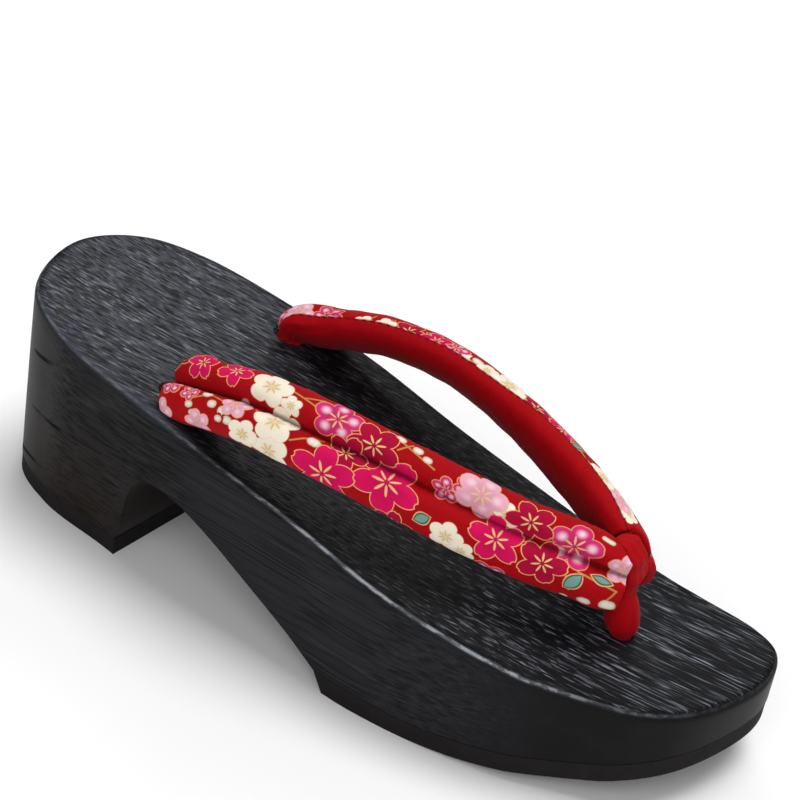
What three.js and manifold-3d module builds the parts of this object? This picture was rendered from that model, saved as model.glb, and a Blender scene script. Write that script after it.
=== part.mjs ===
// Women's geta sandal, right shoe: lacquered wood body with a raised heel, rubber treads,
// a padded double-roll thong and a cloth front loop. Millimetres, +X to the toe, +Y to the
// wearer's left (the inner side of this shoe), +Z up, standing on z = 0.
import * as THREE from "three";
import { mergeVertices } from "three/addons/utils/BufferGeometryUtils.js";
import Module from "manifold-3d";

const wasm = await Module();
wasm.setup();

// Driving dimensions
const DECK_LENGTH = 240;
const DECK_BEVEL = 2.4; // width of the eased edge all round the deck
const TREAD = 5.5; // thickness of the rubber treads
const GAP = 0.3; // clearance between touching pieces
const HEEL_FRONT = 58.8; // front of the heel block at the floor
const HEEL_TAPER = 3.4; // how far the heel's side walls draw in at the floor
const HEEL_BACK_SHARE = 0.15; // share of that taper at the very back
const FOREFOOT_BACK = 136.3; // back edge of the wood's forefoot, where the arch comes down
const TREAD_BACK_LEAN = 3.6; // how far the forefoot tread's back edge leans forward to the floor
const TOE_SPRING = 14; // rise of the sole at the toe tip
const SPRING_START = 160; // where the sole leaves the floor
const REAR_HOLE = 6.3; // radius of the two rear thong holes
const FRONT_HOLE = 5.7; // radius of the front thong hole
const STRAP_HALF_WIDTH = 11.5;
const STRAP_HALF_THICKNESS = 5.6;
const GROOVE_DEPTH = 2.9; // depth of the channel between the two padded rolls
const GROOVE_WIDTH = 2.6;
const NECK = 5.1; // radius of the gathered cloth inside the holes
const KNOT = 6.9; // radius of the knots under the deck
const KNOT_HALF_HEIGHT = 3.7;
const NECK_SHIFT = REAR_HOLE - NECK - GAP; // the cloth lies against the front of its hole
const POCKET = { radius: KNOT + 1.2, depth: 9 }; // recess in the forefoot for the front knot
const WALL_INSET = 0.15; // how far the treads stand inside the wood's wall
const THONG_OVERHANG = 1.8; // how much further the thong reaches on the inner side than the outer

// Deck plan: distance of each edge from the centre line, from the heel forwards.
// right is the outer side, left the inner side of this right shoe.
const DECK_PLAN = [
  { x: 8.6, right: 24.4, left: 24.2 },
  { x: 27, right: 35.2, left: 35.2 },
  { x: 58, right: 38.9, left: 40.2 },
  { x: 88, right: 40.3, left: 41.0 },
  { x: 122, right: 40.4, left: 38.8 },
  { x: 152, right: 40.9, left: 39.0 },
  { x: 184, right: 36.2, left: 39.4 },
  { x: 208, right: 27.8, left: 41.0 },
  { x: 226, right: 16.2, left: 41.4 },
  { x: 235, right: 3.2, left: 37.6 },
];
const HEEL_POINT = { x: -0.4, y: 3.0 };
const TOE_POINT = { x: DECK_LENGTH, y: 22 };

// Deck height above the floor: high heel, a ramp, and a level forefoot
const DECK_HEIGHT = [
  { x: -10, z: 68.0 },
  { x: 0, z: 66.2 },
  { x: 35, z: 59.6 },
  { x: 80, z: 53.2 },
  { x: 120, z: 46.9 },
  { x: 160, z: 39.7 },
  { x: 200, z: 33.6 },
  { x: 240, z: 30.8 },
  { x: 252, z: 30.2 },
];

// Arch between heel and forefoot, seen from the side, from the heel block forwards
const ARCH = [
  { x: 60.2, z: 10 },
  { x: 62.0, z: 22 },
  { x: 64.6, z: 28.6 },
  { x: 69.2, z: 32.1 },
  { x: 77.0, z: 32.7 },
  { x: 85.0, z: 30.9 },
  { x: 96.0, z: 26.6 },
  { x: 109.3, z: 20.0 },
  { x: 125.0, z: 12.1 },
];

const ARCH_TOP = Math.max(...ARCH.map((row) => row.z));

// Thong: one row for each section of an arm, from the rear hole to the front.
// spread is the distance from the thong's own centre line, tilt the lean of the band in
// degrees (0 is upright), width and thickness are shares of the full section.
const THONG = [
  { x: 63.8, spread: 26.1, z: 53.8, tilt: 58, width: 0.46, thickness: 0.72 },
  { x: 66.0, spread: 26.6, z: 56.9, tilt: 58, width: 0.68, thickness: 0.8 },
  { x: 70.4, spread: 27.6, z: 59.7, tilt: 57, width: 0.86, thickness: 0.88 },
  { x: 78.0, spread: 29.1, z: 62.4, tilt: 56, width: 0.96, thickness: 0.96 },
  { x: 87.0, spread: 30.6, z: 65.4, tilt: 53, width: 1, thickness: 1 },
  { x: 99.0, spread: 31.9, z: 67.9, tilt: 50, width: 1, thickness: 1 },
  { x: 120.0, spread: 31.7, z: 68.6, tilt: 44, width: 1, thickness: 1 },
  { x: 145.0, spread: 27.4, z: 65.6, tilt: 36, width: 1, thickness: 1 },
  { x: 170.0, spread: 20.0, z: 60.6, tilt: 27, width: 1, thickness: 1 },
  { x: 188.0, spread: 12.0, z: 57.0, tilt: 28, width: 1, thickness: 1 },
  { x: 196.8, spread: 7.0, z: 54.9, tilt: 31, width: 0.94, thickness: 0.9 },
  { x: 202.0, spread: 3.8, z: 53.9, tilt: 33, width: 0.76, thickness: 0.7 },
];
const REAR_HOLE_TOP = { x: 63.6, spread: 26.2, z: 55.6 };
const REAR_HOLE_BOTTOM = { x: 73.6, spread: 26.2, z: 31 };
const FRONT_CENTRE = { x: 202.4, y: 4.8 };

// Front loop: an upright ring of cloth round the joined ends of the thong
const LOOP = {
  centre: { x: 197.4, z: 53.6 },
  halfLength: 6.2,
  halfHeight: 9.6,
  wall: 3.0,
  width: 8.4,
  round: 1.3,
};

// Samples along the parts
const SIDE_STEPS = 44;
const PROFILE_STEPS = 40;
const SECTION_STEPS = 22;
const ARM_STEPS = 46;

const deckHeightCurve = new THREE.SplineCurve(DECK_HEIGHT.map((row) => new THREE.Vector2(row.x, row.z)));
const heightTable = deckHeightCurve.getPoints(160);

// Height of the deck at a distance x from the heel
function deckHeight(x) {
  for (let i = 1; i < heightTable.length; i += 1) {
    if (heightTable[i].x >= x) {
      const a = heightTable[i - 1];
      const b = heightTable[i];
      return THREE.MathUtils.mapLinear(x, a.x, b.x, a.y, b.y);
    }
  }
  return heightTable.at(-1).y;
}

// Rise of the sole above the floor
function soleRise(x) {
  const run = Math.max(0, x - SPRING_START) / (DECK_LENGTH - SPRING_START);
  return TOE_SPRING * run * run;
}

// The deck's closed plan outline, anticlockwise from above, starting at the heel
function planOutline() {
  const rightSide = DECK_PLAN.map((row) => new THREE.Vector3(row.x, -row.right, 0));
  const leftSide = DECK_PLAN.map((row) => new THREE.Vector3(row.x, row.left, 0)).reverse();
  const heel = new THREE.Vector3(HEEL_POINT.x, HEEL_POINT.y, 0);
  const toe = new THREE.Vector3(TOE_POINT.x, TOE_POINT.y, 0);
  const loop = new THREE.CatmullRomCurve3([heel, ...rightSide, toe, ...leftSide], true, "centripetal");
  return loop.getPoints(2 * SIDE_STEPS).slice(0, -1);
}

// Unit vectors pointing out of the outline
function outwardNormals(outline) {
  return outline.map((point, i) => {
    const before = outline.at(i - 1);
    const after = outline[(i + 1) % outline.length];
    return new THREE.Vector3(after.y - before.y, before.x - after.x, 0).normalize();
  });
}

// How far the wall draws in under the heel, fading out ahead of the heel block
function heelInset(point, normal, z) {
  const along = 1 - THREE.MathUtils.smoothstep(point.x, HEEL_FRONT - 14, HEEL_FRONT + 30);
  const down = THREE.MathUtils.clamp(1 - z / deckHeight(point.x), 0, 1);
  const sideways = THREE.MathUtils.lerp(HEEL_BACK_SHARE, 1, normal.y * normal.y);
  return HEEL_TAPER * along * sideways * Math.pow(down, 1.3);
}

// Closed solid from a list of equal rings, with flat fans or strips closing both ends
function solidFromRings(rings, capTriangles) {
  const count = rings[0].length;
  const positions = rings.flat().flatMap((point) => [point.x, point.y, point.z]);
  const index = [];
  for (let r = 0; r + 1 < rings.length; r += 1) {
    for (let i = 0; i < count; i += 1) {
      const next = (i + 1) % count;
      const a = r * count + i;
      const b = r * count + next;
      index.push(a, b, b + count);
      index.push(a, b + count, a + count);
    }
  }
  const last = (rings.length - 1) * count;
  for (const [a, b, c] of capTriangles(count)) {
    index.push(c, b, a);
    index.push(last + a, last + b, last + c);
  }
  return manifoldOf(new Float32Array(positions), new Uint32Array(index));
}

// Strips across a ring that starts at one end of the piece and runs round it
function stripCap(count) {
  const triangles = [];
  const half = count / 2;
  for (let i = 0; i < half; i += 1) {
    const far = (count - i) % count;
    if (i > 0) {
      triangles.push([far, i, i + 1]);
    }
    if (i + 1 < half) {
      triangles.push([far, i + 1, count - i - 1]);
    }
  }
  return triangles;
}

function fanCap(count) {
  const triangles = [];
  for (let i = 1; i + 1 < count; i += 1) {
    triangles.push([0, i, i + 1]);
  }
  return triangles;
}

function manifoldOf(vertProperties, triVerts) {
  return new wasm.Manifold(new wasm.Mesh({ numProp: 3, vertProperties, triVerts }));
}

// A three.js geometry as a solid, placed by a matrix
function solidOf(geometry, matrix = new THREE.Matrix4()) {
  const bare = geometry.clone().applyMatrix4(matrix);
  bare.deleteAttribute("normal");
  bare.deleteAttribute("uv");
  const merged = mergeVertices(bare, 1e-4);
  return manifoldOf(new Float32Array(merged.attributes.position.array), new Uint32Array(merged.index.array));
}

// A side profile in x and z, pushed through the whole width of the shoe
function sideProfile(points) {
  const width = 120;
  const shape = new THREE.Shape(points.map((point) => new THREE.Vector2(point.x, point.z)));
  const slab = new THREE.ExtrudeGeometry(shape, { depth: width, bevelEnabled: false });
  const stand = new THREE.Matrix4().makeRotationX(Math.PI / 2);
  stand.premultiply(new THREE.Matrix4().makeTranslation(0, width / 2, 0));
  return solidOf(slab, stand);
}

// The plan of the shoe as an upright block with its eased deck edge.
// inset draws the whole wall in, for the treads.
function carvedBlock(inset) {
  const outline = planOutline();
  const normals = outwardNormals(outline);
  const floor = -6;
  const levels = [
    { fromFloor: floor },
    { fromFloor: 6 },
    { fromFloor: 14 },
    { fromDeck: 13, ease: 0 },
    { fromDeck: DECK_BEVEL * 0.9, ease: 0.02 },
    { fromDeck: DECK_BEVEL * 0.35, ease: 0.3 },
    { fromDeck: 0, ease: 1 },
  ];
  const rings = levels.map((level) => outline.map((point, i) => {
    const z = level.fromFloor ?? deckHeight(point.x) - level.fromDeck;
    const draw = inset + heelInset(point, normals[i], z) + DECK_BEVEL * (level.ease ?? 0);
    const placed = point.clone().addScaledVector(normals[i], -draw);
    placed.z = level.fromFloor ?? deckHeight(placed.x) - level.fromDeck;
    return placed;
  }));
  return solidFromRings(rings, stripCap);
}

// Points of the sole line raised by a given amount, from the forefoot's back to past the toe
function soleLine(rise) {
  const end = DECK_LENGTH + 12;
  const points = [];
  for (let i = 0; i <= PROFILE_STEPS; i += 1) {
    const x = THREE.MathUtils.lerp(SPRING_START, end, i / PROFILE_STEPS);
    points.push({ x, z: soleRise(x) + rise });
  }
  return points;
}

// The space under the wood: floor level at the heel, the arch, and the sprung forefoot
function underSpace() {
  const top = TREAD + GAP;
  const arch = new THREE.SplineCurve(ARCH.map((row) => new THREE.Vector2(row.x, row.z)));
  const profile = [
    { x: -30, z: -30 },
    { x: -30, z: top },
    { x: HEEL_FRONT, z: top },
    ...arch.getPoints(26).map((point) => ({ x: point.x, z: point.y })),
    { x: FOREFOOT_BACK, z: top },
    ...soleLine(top),
    { x: DECK_LENGTH + 30, z: -30 },
  ];
  return sideProfile(profile.reverse());
}

// A cylinder between two points
function rod(from, to, radius) {
  const axis = new THREE.Vector3().subVectors(to, from);
  const turn = new THREE.Quaternion().setFromUnitVectors(
    new THREE.Vector3(0, 1, 0),
    axis.clone().normalize(),
  );
  const middle = new THREE.Vector3().addVectors(from, to).multiplyScalar(0.5);
  const matrix = new THREE.Matrix4().compose(middle, turn, new THREE.Vector3(1, 1, 1));
  return solidOf(new THREE.CylinderGeometry(radius, radius, axis.length(), 28), matrix);
}

// The y of a rear hole; side is -1 on the right and 1 on the left
function rearPoint(row, side) {
  return new THREE.Vector3(row.x, side * row.spread, row.z);
}

// A rod along a rear hole, lengthened past both ends
function alongRearHole(side, radius, forward, above, below) {
  const top = rearPoint(REAR_HOLE_TOP, side);
  const bottom = rearPoint(REAR_HOLE_BOTTOM, side);
  const down = new THREE.Vector3().subVectors(bottom, top).normalize();
  const shift = new THREE.Vector3(forward, 0, 0);
  const start = top.clone().addScaledVector(down, -above).add(shift);
  const end = bottom.clone().addScaledVector(down, below).add(shift);
  return rod(start, end, radius);
}

function woodBody() {
  let wood = carvedBlock(0).subtract(underSpace());
  for (const side of [-1, 1]) {
    wood = wood.subtract(alongRearHole(side, REAR_HOLE, 0, 16, 8));
  }
  const { x, y } = FRONT_CENTRE;
  const low = new THREE.Vector3(x, y, 0);
  const high = new THREE.Vector3(x, y, deckHeight(x) + LOOP.halfHeight);
  const pocketTop = new THREE.Vector3(x, y, soleRise(x) + TREAD + POCKET.depth);
  wood = wood.subtract(rod(low, high, FRONT_HOLE));
  return wood.subtract(rod(low, pocketTop, POCKET.radius));
}

function heelTread() {
  const profile = sideProfile([
    { x: -30, z: 0 },
    { x: HEEL_FRONT, z: 0 },
    { x: HEEL_FRONT, z: TREAD },
    { x: -30, z: TREAD },
  ]);
  return carvedBlock(WALL_INSET).intersect(profile);
}

function forefootTread() {
  const profile = sideProfile([
    { x: FOREFOOT_BACK + TREAD_BACK_LEAN, z: 0 },
    ...soleLine(0),
    ...soleLine(TREAD).reverse(),
    { x: FOREFOOT_BACK, z: TREAD },
  ]);
  return carvedBlock(WALL_INSET).intersect(profile);
}

// A smooth value along the thong table, read at a share t of its rows
function thongCurve(pick) {
  const knots = THONG.map((row) => pick(row));
  return (t) => {
    const place = t * (knots.length - 1);
    const i = Math.min(Math.floor(place), knots.length - 2);
    const before = knots[Math.max(0, i - 1)];
    const after = knots[Math.min(knots.length - 1, i + 2)];
    return catmull(before, knots[i], knots[i + 1], after, place - i);
  };
}

function catmull(p0, p1, p2, p3, t) {
  const v0 = (p2 - p0) / 2;
  const v1 = (p3 - p1) / 2;
  const cubic = (2 * (p1 - p2) + v0 + v1) * t ** 3;
  const square = (3 * (p2 - p1) - 2 * v0 - v1) * t ** 2;
  return cubic + square + v0 * t + p1;
}

// Centre line of the thong: from between the rear holes to the front hole
function thongCentre(x) {
  const back = REAR_HOLE_TOP.x;
  return FRONT_CENTRE.y * THREE.MathUtils.clamp((x - back) / (FRONT_CENTRE.x - back), 0, 1.1);
}

// Section of the padded band: two rolls outside with a channel between, smooth inside
function bandSection(angle, halfWidth, halfThickness) {
  const round = (value) => Math.sign(value) * Math.pow(Math.abs(value), 0.85);
  const across = halfWidth * round(Math.cos(angle));
  let out = halfThickness * round(Math.sin(angle));
  if (out > 0) {
    out -= GROOVE_DEPTH * (halfThickness / STRAP_HALF_THICKNESS) * Math.exp(-((across / GROOVE_WIDTH) ** 2));
  } else {
    out *= 0.86;
  }
  return { across, out };
}

// One arm of the thong; side is -1 on the right and 1 on the left
function thongArm(side) {
  const curveX = thongCurve((row) => row.x);
  const curveSpread = thongCurve((row) => row.spread);
  const curveZ = thongCurve((row) => row.z);
  const curveTilt = thongCurve((row) => row.tilt);
  const curveWidth = thongCurve((row) => row.width);
  const curveThickness = thongCurve((row) => row.thickness);
  const centre = (t) => {
    const x = curveX(t);
    return new THREE.Vector3(x, thongCentre(x) + side * curveSpread(t), curveZ(t));
  };
  const rings = [];
  for (let k = 0; k <= ARM_STEPS; k += 1) {
    const t = k / ARM_STEPS;
    const middle = centre(t);
    const step = 0.004;
    const forward = centre(Math.min(1, t + step)).sub(centre(Math.max(0, t - step))).normalize();
    const tilt = THREE.MathUtils.degToRad(curveTilt(t));
    const upright = new THREE.Vector3(0, -side * Math.sin(tilt), Math.cos(tilt));
    upright.addScaledVector(forward, -upright.dot(forward)).normalize();
    const outward = new THREE.Vector3().crossVectors(upright, forward).multiplyScalar(side);
    const halfWidth = STRAP_HALF_WIDTH * curveWidth(t);
    const halfThickness = STRAP_HALF_THICKNESS * curveThickness(t);
    const ring = [];
    for (let i = 0; i < SECTION_STEPS; i += 1) {
      const angle = side * (2 * Math.PI * i) / SECTION_STEPS;
      const { across, out } = bandSection(angle, halfWidth, halfThickness);
      ring.push(middle.clone().addScaledVector(upright, across).addScaledVector(outward, out));
    }
    rings.push(ring);
  }
  return solidFromRings(rings.reverse(), fanCap);
}

// A squat ball, for the knots under the deck
function knot(centre, halfHeight) {
  const shape = new THREE.Matrix4().compose(
    centre,
    new THREE.Quaternion().setFromAxisAngle(new THREE.Vector3(1, 0, 0), Math.PI / 2),
    new THREE.Vector3(1, halfHeight / KNOT, 1),
  );
  return solidOf(new THREE.SphereGeometry(KNOT, 20, 12), shape);
}

// The room the wood takes, with its clearance, that the thong is pressed flat against
function deckRoom() {
  const line = [];
  for (let i = 0; i <= PROFILE_STEPS; i += 1) {
    const x = THREE.MathUtils.lerp(-20, DECK_LENGTH + 20, i / PROFILE_STEPS);
    line.push({ x, z: deckHeight(x) + GAP });
  }
  let room = sideProfile([{ x: -20, z: 34 }, { x: DECK_LENGTH + 20, z: 20 }, ...line.reverse()]);
  for (const side of [-1, 1]) {
    room = room.subtract(alongRearHole(side, REAR_HOLE - GAP, 0, 16, 8));
  }
  return room;
}

// The ring of the front loop, grown by a clearance where it is used as a cutter
function loopRing(grow) {
  const { centre, halfLength, halfHeight, wall, width, round } = LOOP;
  const shape = new THREE.Shape();
  shape.absellipse(centre.x, centre.z, halfLength, halfHeight, 0, Math.PI * 2);
  const eye = new THREE.Path();
  eye.absellipse(centre.x, centre.z, halfLength - wall, halfHeight - wall, 0, Math.PI * 2);
  shape.holes.push(eye);
  const settings = {
    depth: width - 2 * round,
    curveSegments: 18,
    bevelSize: round + grow,
    bevelOffset: -round,
    bevelThickness: round + grow,
    bevelSegments: 2,
  };
  const ring = new THREE.ExtrudeGeometry(shape, settings);
  const stand = new THREE.Matrix4().makeRotationX(Math.PI / 2);
  stand.premultiply(new THREE.Matrix4().makeTranslation(0, FRONT_CENTRE.y + width / 2 - round, 0));
  return solidOf(ring, stand);
}

// The gathered stub of the front loop, down through the deck to its knot
function loopStub(grow) {
  const { x, y } = FRONT_CENTRE;
  const sole = soleRise(x + KNOT) + TREAD;
  const neck = FRONT_HOLE - GAP;
  const top = LOOP.centre.z - LOOP.halfHeight + 4.2;
  const profile = [
    { r: 0, z: sole + 1 },
    { r: KNOT - 2, z: sole + 1 },
    { r: KNOT, z: sole + 3.4 },
    { r: KNOT - 1, z: sole + 6 },
    { r: neck, z: sole + 7 },
    { r: neck, z: top - 5 },
    { r: neck - 0.4, z: top - 2.4 },
    { r: neck - 2, z: top - 0.5 },
    { r: 0, z: top },
  ];
  const points = profile.map((row) => new THREE.Vector2(row.r > 0 ? row.r + grow : 0, row.z));
  points.at(-1).y += grow;
  const place = new THREE.Matrix4().makeTranslation(x, y, 0);
  place.multiply(new THREE.Matrix4().makeRotationX(Math.PI / 2));
  return solidOf(new THREE.LatheGeometry(points, 28), place);
}

function frontLoop(grow = 0) {
  return loopRing(grow).add(loopStub(grow));
}

function thongStraps() {
  let straps = thongArm(-1).add(thongArm(1));
  straps = straps.subtract(deckRoom());
  for (const side of [-1, 1]) {
    straps = straps.add(alongRearHole(side, NECK, NECK_SHIFT, 3, 3));
    const exit = rearPoint(REAR_HOLE_BOTTOM, side);
    const place = new THREE.Vector3(exit.x + NECK_SHIFT, exit.y, ARCH_TOP - GAP - KNOT_HALF_HEIGHT);
    straps = straps.add(knot(place, KNOT_HALF_HEIGHT));
  }
  return straps.subtract(frontLoop(GAP));
}

// A solid as a named mesh with its own material
function pieceOf(name, solid, colour, roughness) {
  const mesh = solid.getMesh();
  const geometry = new THREE.BufferGeometry();
  geometry.setAttribute("position", new THREE.BufferAttribute(new Float32Array(mesh.vertProperties), 3));
  geometry.setIndex(new THREE.BufferAttribute(new Uint32Array(mesh.triVerts), 1));
  geometry.computeVertexNormals();
  const material = new THREE.MeshStandardMaterial({ color: colour, roughness, metalness: 0 });
  const piece = new THREE.Mesh(geometry, material);
  piece.name = name;
  return piece;
}

const geta = new THREE.Group();
geta.add(pieceOf("wood_body", woodBody(), 0x1d1c20, 0.42));
geta.add(pieceOf("heel_tread", heelTread(), 0x211e20, 0.85));
geta.add(pieceOf("forefoot_tread", forefootTread(), 0x211e20, 0.85));
geta.add(pieceOf("thong_straps", thongStraps(), 0xb0101a, 0.8));
geta.add(pieceOf("front_loop", frontLoop(), 0x9c0712, 0.85));
geta.position.set(-DECK_LENGTH / 2, -THONG_OVERHANG / 2, 0);

export default geta;
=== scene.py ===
import math

import bmesh
import bpy
import numpy as np
from mathutils import Matrix, Vector


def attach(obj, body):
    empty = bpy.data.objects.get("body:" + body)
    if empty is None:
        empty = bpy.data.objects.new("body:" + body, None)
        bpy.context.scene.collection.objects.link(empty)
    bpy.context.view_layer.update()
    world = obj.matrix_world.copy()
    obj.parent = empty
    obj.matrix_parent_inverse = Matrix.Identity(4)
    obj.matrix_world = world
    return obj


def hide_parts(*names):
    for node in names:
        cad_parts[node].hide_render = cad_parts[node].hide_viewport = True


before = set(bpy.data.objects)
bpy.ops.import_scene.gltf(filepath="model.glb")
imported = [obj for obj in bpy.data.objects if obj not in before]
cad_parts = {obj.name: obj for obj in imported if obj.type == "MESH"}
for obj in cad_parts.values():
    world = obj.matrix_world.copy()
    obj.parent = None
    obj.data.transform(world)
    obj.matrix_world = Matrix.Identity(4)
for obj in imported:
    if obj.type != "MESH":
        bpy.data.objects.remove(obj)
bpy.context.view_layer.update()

# Studio: a pale floor under the sandal, a soft window behind the heel, a soft ceiling light, a
# weaker one in front, a pale room, and the camera at the photograph's angle.
# The floor is a plain sheet of matt paper-like board.


class Shade:
    """A number, colour or vector on its way through a finish; sums of numbers add Math nodes."""

    def __init__(self, finish, socket):
        self.finish = finish
        self.socket = socket

    def math(self, operation, *others):
        values = dict(enumerate((self, *others)))
        return self.finish.node("ShaderNodeMath", {"operation": operation}, values)

    def __add__(self, other):
        return self.math("ADD", other)

    def __sub__(self, other):
        return self.math("SUBTRACT", other)

    def __rsub__(self, other):
        turned = self.math("MULTIPLY", -1.0)
        return turned.math("ADD", other)

    def __mul__(self, other):
        return self.math("MULTIPLY", other)

    def __truediv__(self, other):
        return self.math("DIVIDE", other)

    def __abs__(self):
        return self.math("ABSOLUTE")

    __radd__ = __add__
    __rmul__ = __mul__


class Finish:
    """One node material around a Principled shader."""

    def __init__(self, name, **plain):
        self.material = bpy.data.materials.new(name)
        self.material.use_nodes = True
        self.tree = self.material.node_tree
        self.shader = self.tree.nodes["Principled BSDF"]
        for socket, value in plain.items():
            self.shader.inputs[socket.replace("_", " ")].default_value = value

    def node(self, kind, settings=None, values=None, output=0):
        made = self.tree.nodes.new(kind)
        for name, value in (settings or {}).items():
            setattr(made, name, value)
        for key, value in (values or {}).items():
            if isinstance(value, Shade):
                self.tree.links.new(value.socket, made.inputs[key])
            else:
                made.inputs[key].default_value = value
        return Shade(self, made.outputs[output])

    def set(self, socket, value):
        self.tree.links.new(value.socket, self.shader.inputs[socket])

    def mix(self, factor, first, second):
        settings = {"data_type": "RGBA", "clamp_factor": True}
        return self.node("ShaderNodeMix", settings, {0: factor, 6: first, 7: second}, 2)

    def step(self, value, low, high):
        """0 below low, 1 above high, smooth between."""
        settings = {"interpolation_type": "SMOOTHSTEP", "clamp": True}
        return self.node("ShaderNodeMapRange", settings, {0: value, 1: low, 2: high})

    def parts(self, vector):
        return [self.node("ShaderNodeSeparateXYZ", None, {0: vector}, i) for i in range(3)]

    def join(self, x, y, z=0.0):
        return self.node("ShaderNodeCombineXYZ", None, {0: x, 1: y, 2: z})

    def noise(self, vector, scale, detail=2.0, roughness=0.5, distortion=0.0):
        values = {"Vector": vector, "Scale": scale, "Detail": detail}
        values.update({"Roughness": roughness, "Distortion": distortion})
        return self.node("ShaderNodeTexNoise", None, values)

    def stretched(self, vector, x, y, z):
        settings = {"operation": "MULTIPLY"}
        return self.node("ShaderNodeVectorMath", settings, {0: vector, 1: (x, y, z)})

    def bump(self, height, strength, distance):
        values = {"Height": height, "Strength": strength, "Distance": distance}
        self.set("Normal", self.node("ShaderNodeBump", None, values))

    def place(self):
        return self.node("ShaderNodeTexCoord", None, None, "Object")

    def field(self, name, output="Fac"):
        return self.node("ShaderNodeAttribute", {"attribute_name": name}, None, output)


def colour(code):
    """A hex colour as the linear values that a shader socket takes."""
    shares = [int(code[i : i + 2], 16) / 255 for i in (0, 2, 4)]
    linear = [v / 12.92 if v <= 0.04045 else ((v + 0.055) / 1.055) ** 2.4 for v in shares]
    return (*linear, 1.0)


def placed(name, data):
    """A new object in the scene, at the origin."""
    made = bpy.data.objects.new(name, data)
    bpy.context.scene.collection.objects.link(made)
    return made


def face_outwards(mesh, merged=False):
    """Turns the faces outwards, and merges doubles first where asked."""
    form = bmesh.new()
    form.from_mesh(mesh)
    if merged:
        bmesh.ops.remove_doubles(form, verts=form.verts, dist=2e-6)
        bmesh.ops.dissolve_degenerate(form, edges=form.edges, dist=1e-6)
    bmesh.ops.recalc_face_normals(form, faces=form.faces)
    form.to_mesh(mesh)
    form.free()


def mesh_piece(name, points, faces, material):
    """A smooth mesh object at the origin, without doubles."""
    mesh = bpy.data.meshes.new(name)
    mesh.from_pydata([tuple(p) for p in points], [], faces)
    face_outwards(mesh, merged=True)
    mesh.materials.append(material)
    mesh.shade_smooth()
    return placed(name, mesh)


bpy.context.scene.view_settings.view_transform = "Standard"
FLOOR_HALF = 3.0
board = Finish("pale_board", Roughness=0.85)
mottle = board.noise(board.place(), 9.0)
board.set("Base Color", board.mix(mottle, colour("f6f6f6"), colour("f1f1f2")))
corners = ((-1, -1), (1, -1), (1, 1), (-1, 1))
sheet = [(x * FLOOR_HALF, y * FLOOR_HALF, 0) for x, y in corners]
floor = mesh_piece("floor", sheet, [(0, 1, 2, 3)], board.material)

room = bpy.data.worlds.new("pale_room")
bpy.context.scene.world = room
room.use_nodes = True
glow = room.node_tree.nodes["Background"].inputs
glow["Color"].default_value = (1.0, 1.0, 1.0, 1.0)
glow["Strength"].default_value = 0.24

SANDAL_MIDDLE = 0.04


def soft_light(name, kind, place, energy, **sizes):
    """A lamp that faces the sandal."""
    lamp = bpy.data.lights.new(name, kind)
    lamp.energy = energy
    for setting, value in sizes.items():
        setattr(lamp, setting, value)
    holder = placed(name, lamp)
    holder.location = place
    aim = Vector((0, 0, SANDAL_MIDDLE)) - Vector(place)
    holder.rotation_euler = aim.to_track_quat("-Z", "Y").to_euler()


window = {"shape": "RECTANGLE", "size": 0.7, "size_y": 0.5}
soft_light("window_light", "AREA", (-0.75, 1.2, 1.2), 4.5, **window)
soft_light("ceiling_light", "SUN", (0.25, 0.5, 2.2), 2.0, angle=math.radians(35))
soft_light("front_light", "SUN", (0.6, -1.5, 1.2), 1.3, angle=math.radians(50))

CAMERA_PLACE = (0.29709, -0.50539, 0.41863)
CAMERA_AZIMUTH, CAMERA_HEIGHT, CAMERA_ROLL = -1.04213875, 0.536624921, 0.199121269
level_share = math.cos(CAMERA_HEIGHT)
away_x, away_y = level_share * math.cos(CAMERA_AZIMUTH), level_share * math.sin(CAMERA_AZIMUTH)
away = Vector((away_x, away_y, math.sin(CAMERA_HEIGHT)))
level = Vector((0, 0, 1)).cross(away).normalized()
upright = away.cross(level)
rolled = math.cos(CAMERA_ROLL) * level + math.sin(CAMERA_ROLL) * upright
over = math.cos(CAMERA_ROLL) * upright - math.sin(CAMERA_ROLL) * level
lens = bpy.data.cameras.new("camera")
lens.lens, lens.sensor_width = 110.6, 36
lens.clip_start, lens.clip_end = 0.01, 20
camera = placed("camera", lens)
aimed = Matrix((rolled, over, away)).transposed().to_4x4()
camera.matrix_world = Matrix.Translation(CAMERA_PLACE) @ aimed
bpy.context.scene.camera = camera

# Wood body: deck, heel block and forefoot block carved from one piece of paulownia.
# The soft grain is brushed out so that the hard lines stand proud, then it is lacquered black.
# Its deck edge is eased by hand; the silvery line along its near side is worn lacquer and a painted
# highlight.
CENTRE_X, CENTRE_Y = 120.0, 0.9  # the shoe's middle in the maker's millimetres
GAP = 0.3
TREAD = 5.5
WOOD_FOOT = TREAD + GAP
DECK_LENGTH = 240.0
DECK_EASE = 2.4
NICK_PLACE, NICK_DEPTH = -13.0, 0.9  # a small dent in the heel's back edge
HEEL_FRONT = 58.8
HEEL_TAPER, HEEL_BACK_SHARE = 3.4, 0.15
TAPER_LEAD, TAPER_FADE = 14, 44  # it starts to fade this far behind the heel's front
ARCH_STEEPEST, FOREFOOT_BACK = 61.0, 136.3
TOE_SPRING, SPRING_START = 14.0, 160.0
SIDE_STATIONS, WALL_LEVELS, DECK_COLUMNS = 190, 15, 30
EVEN_FROM, EVEN_TO = 22, 212  # between these, both sides have their points level

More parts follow.
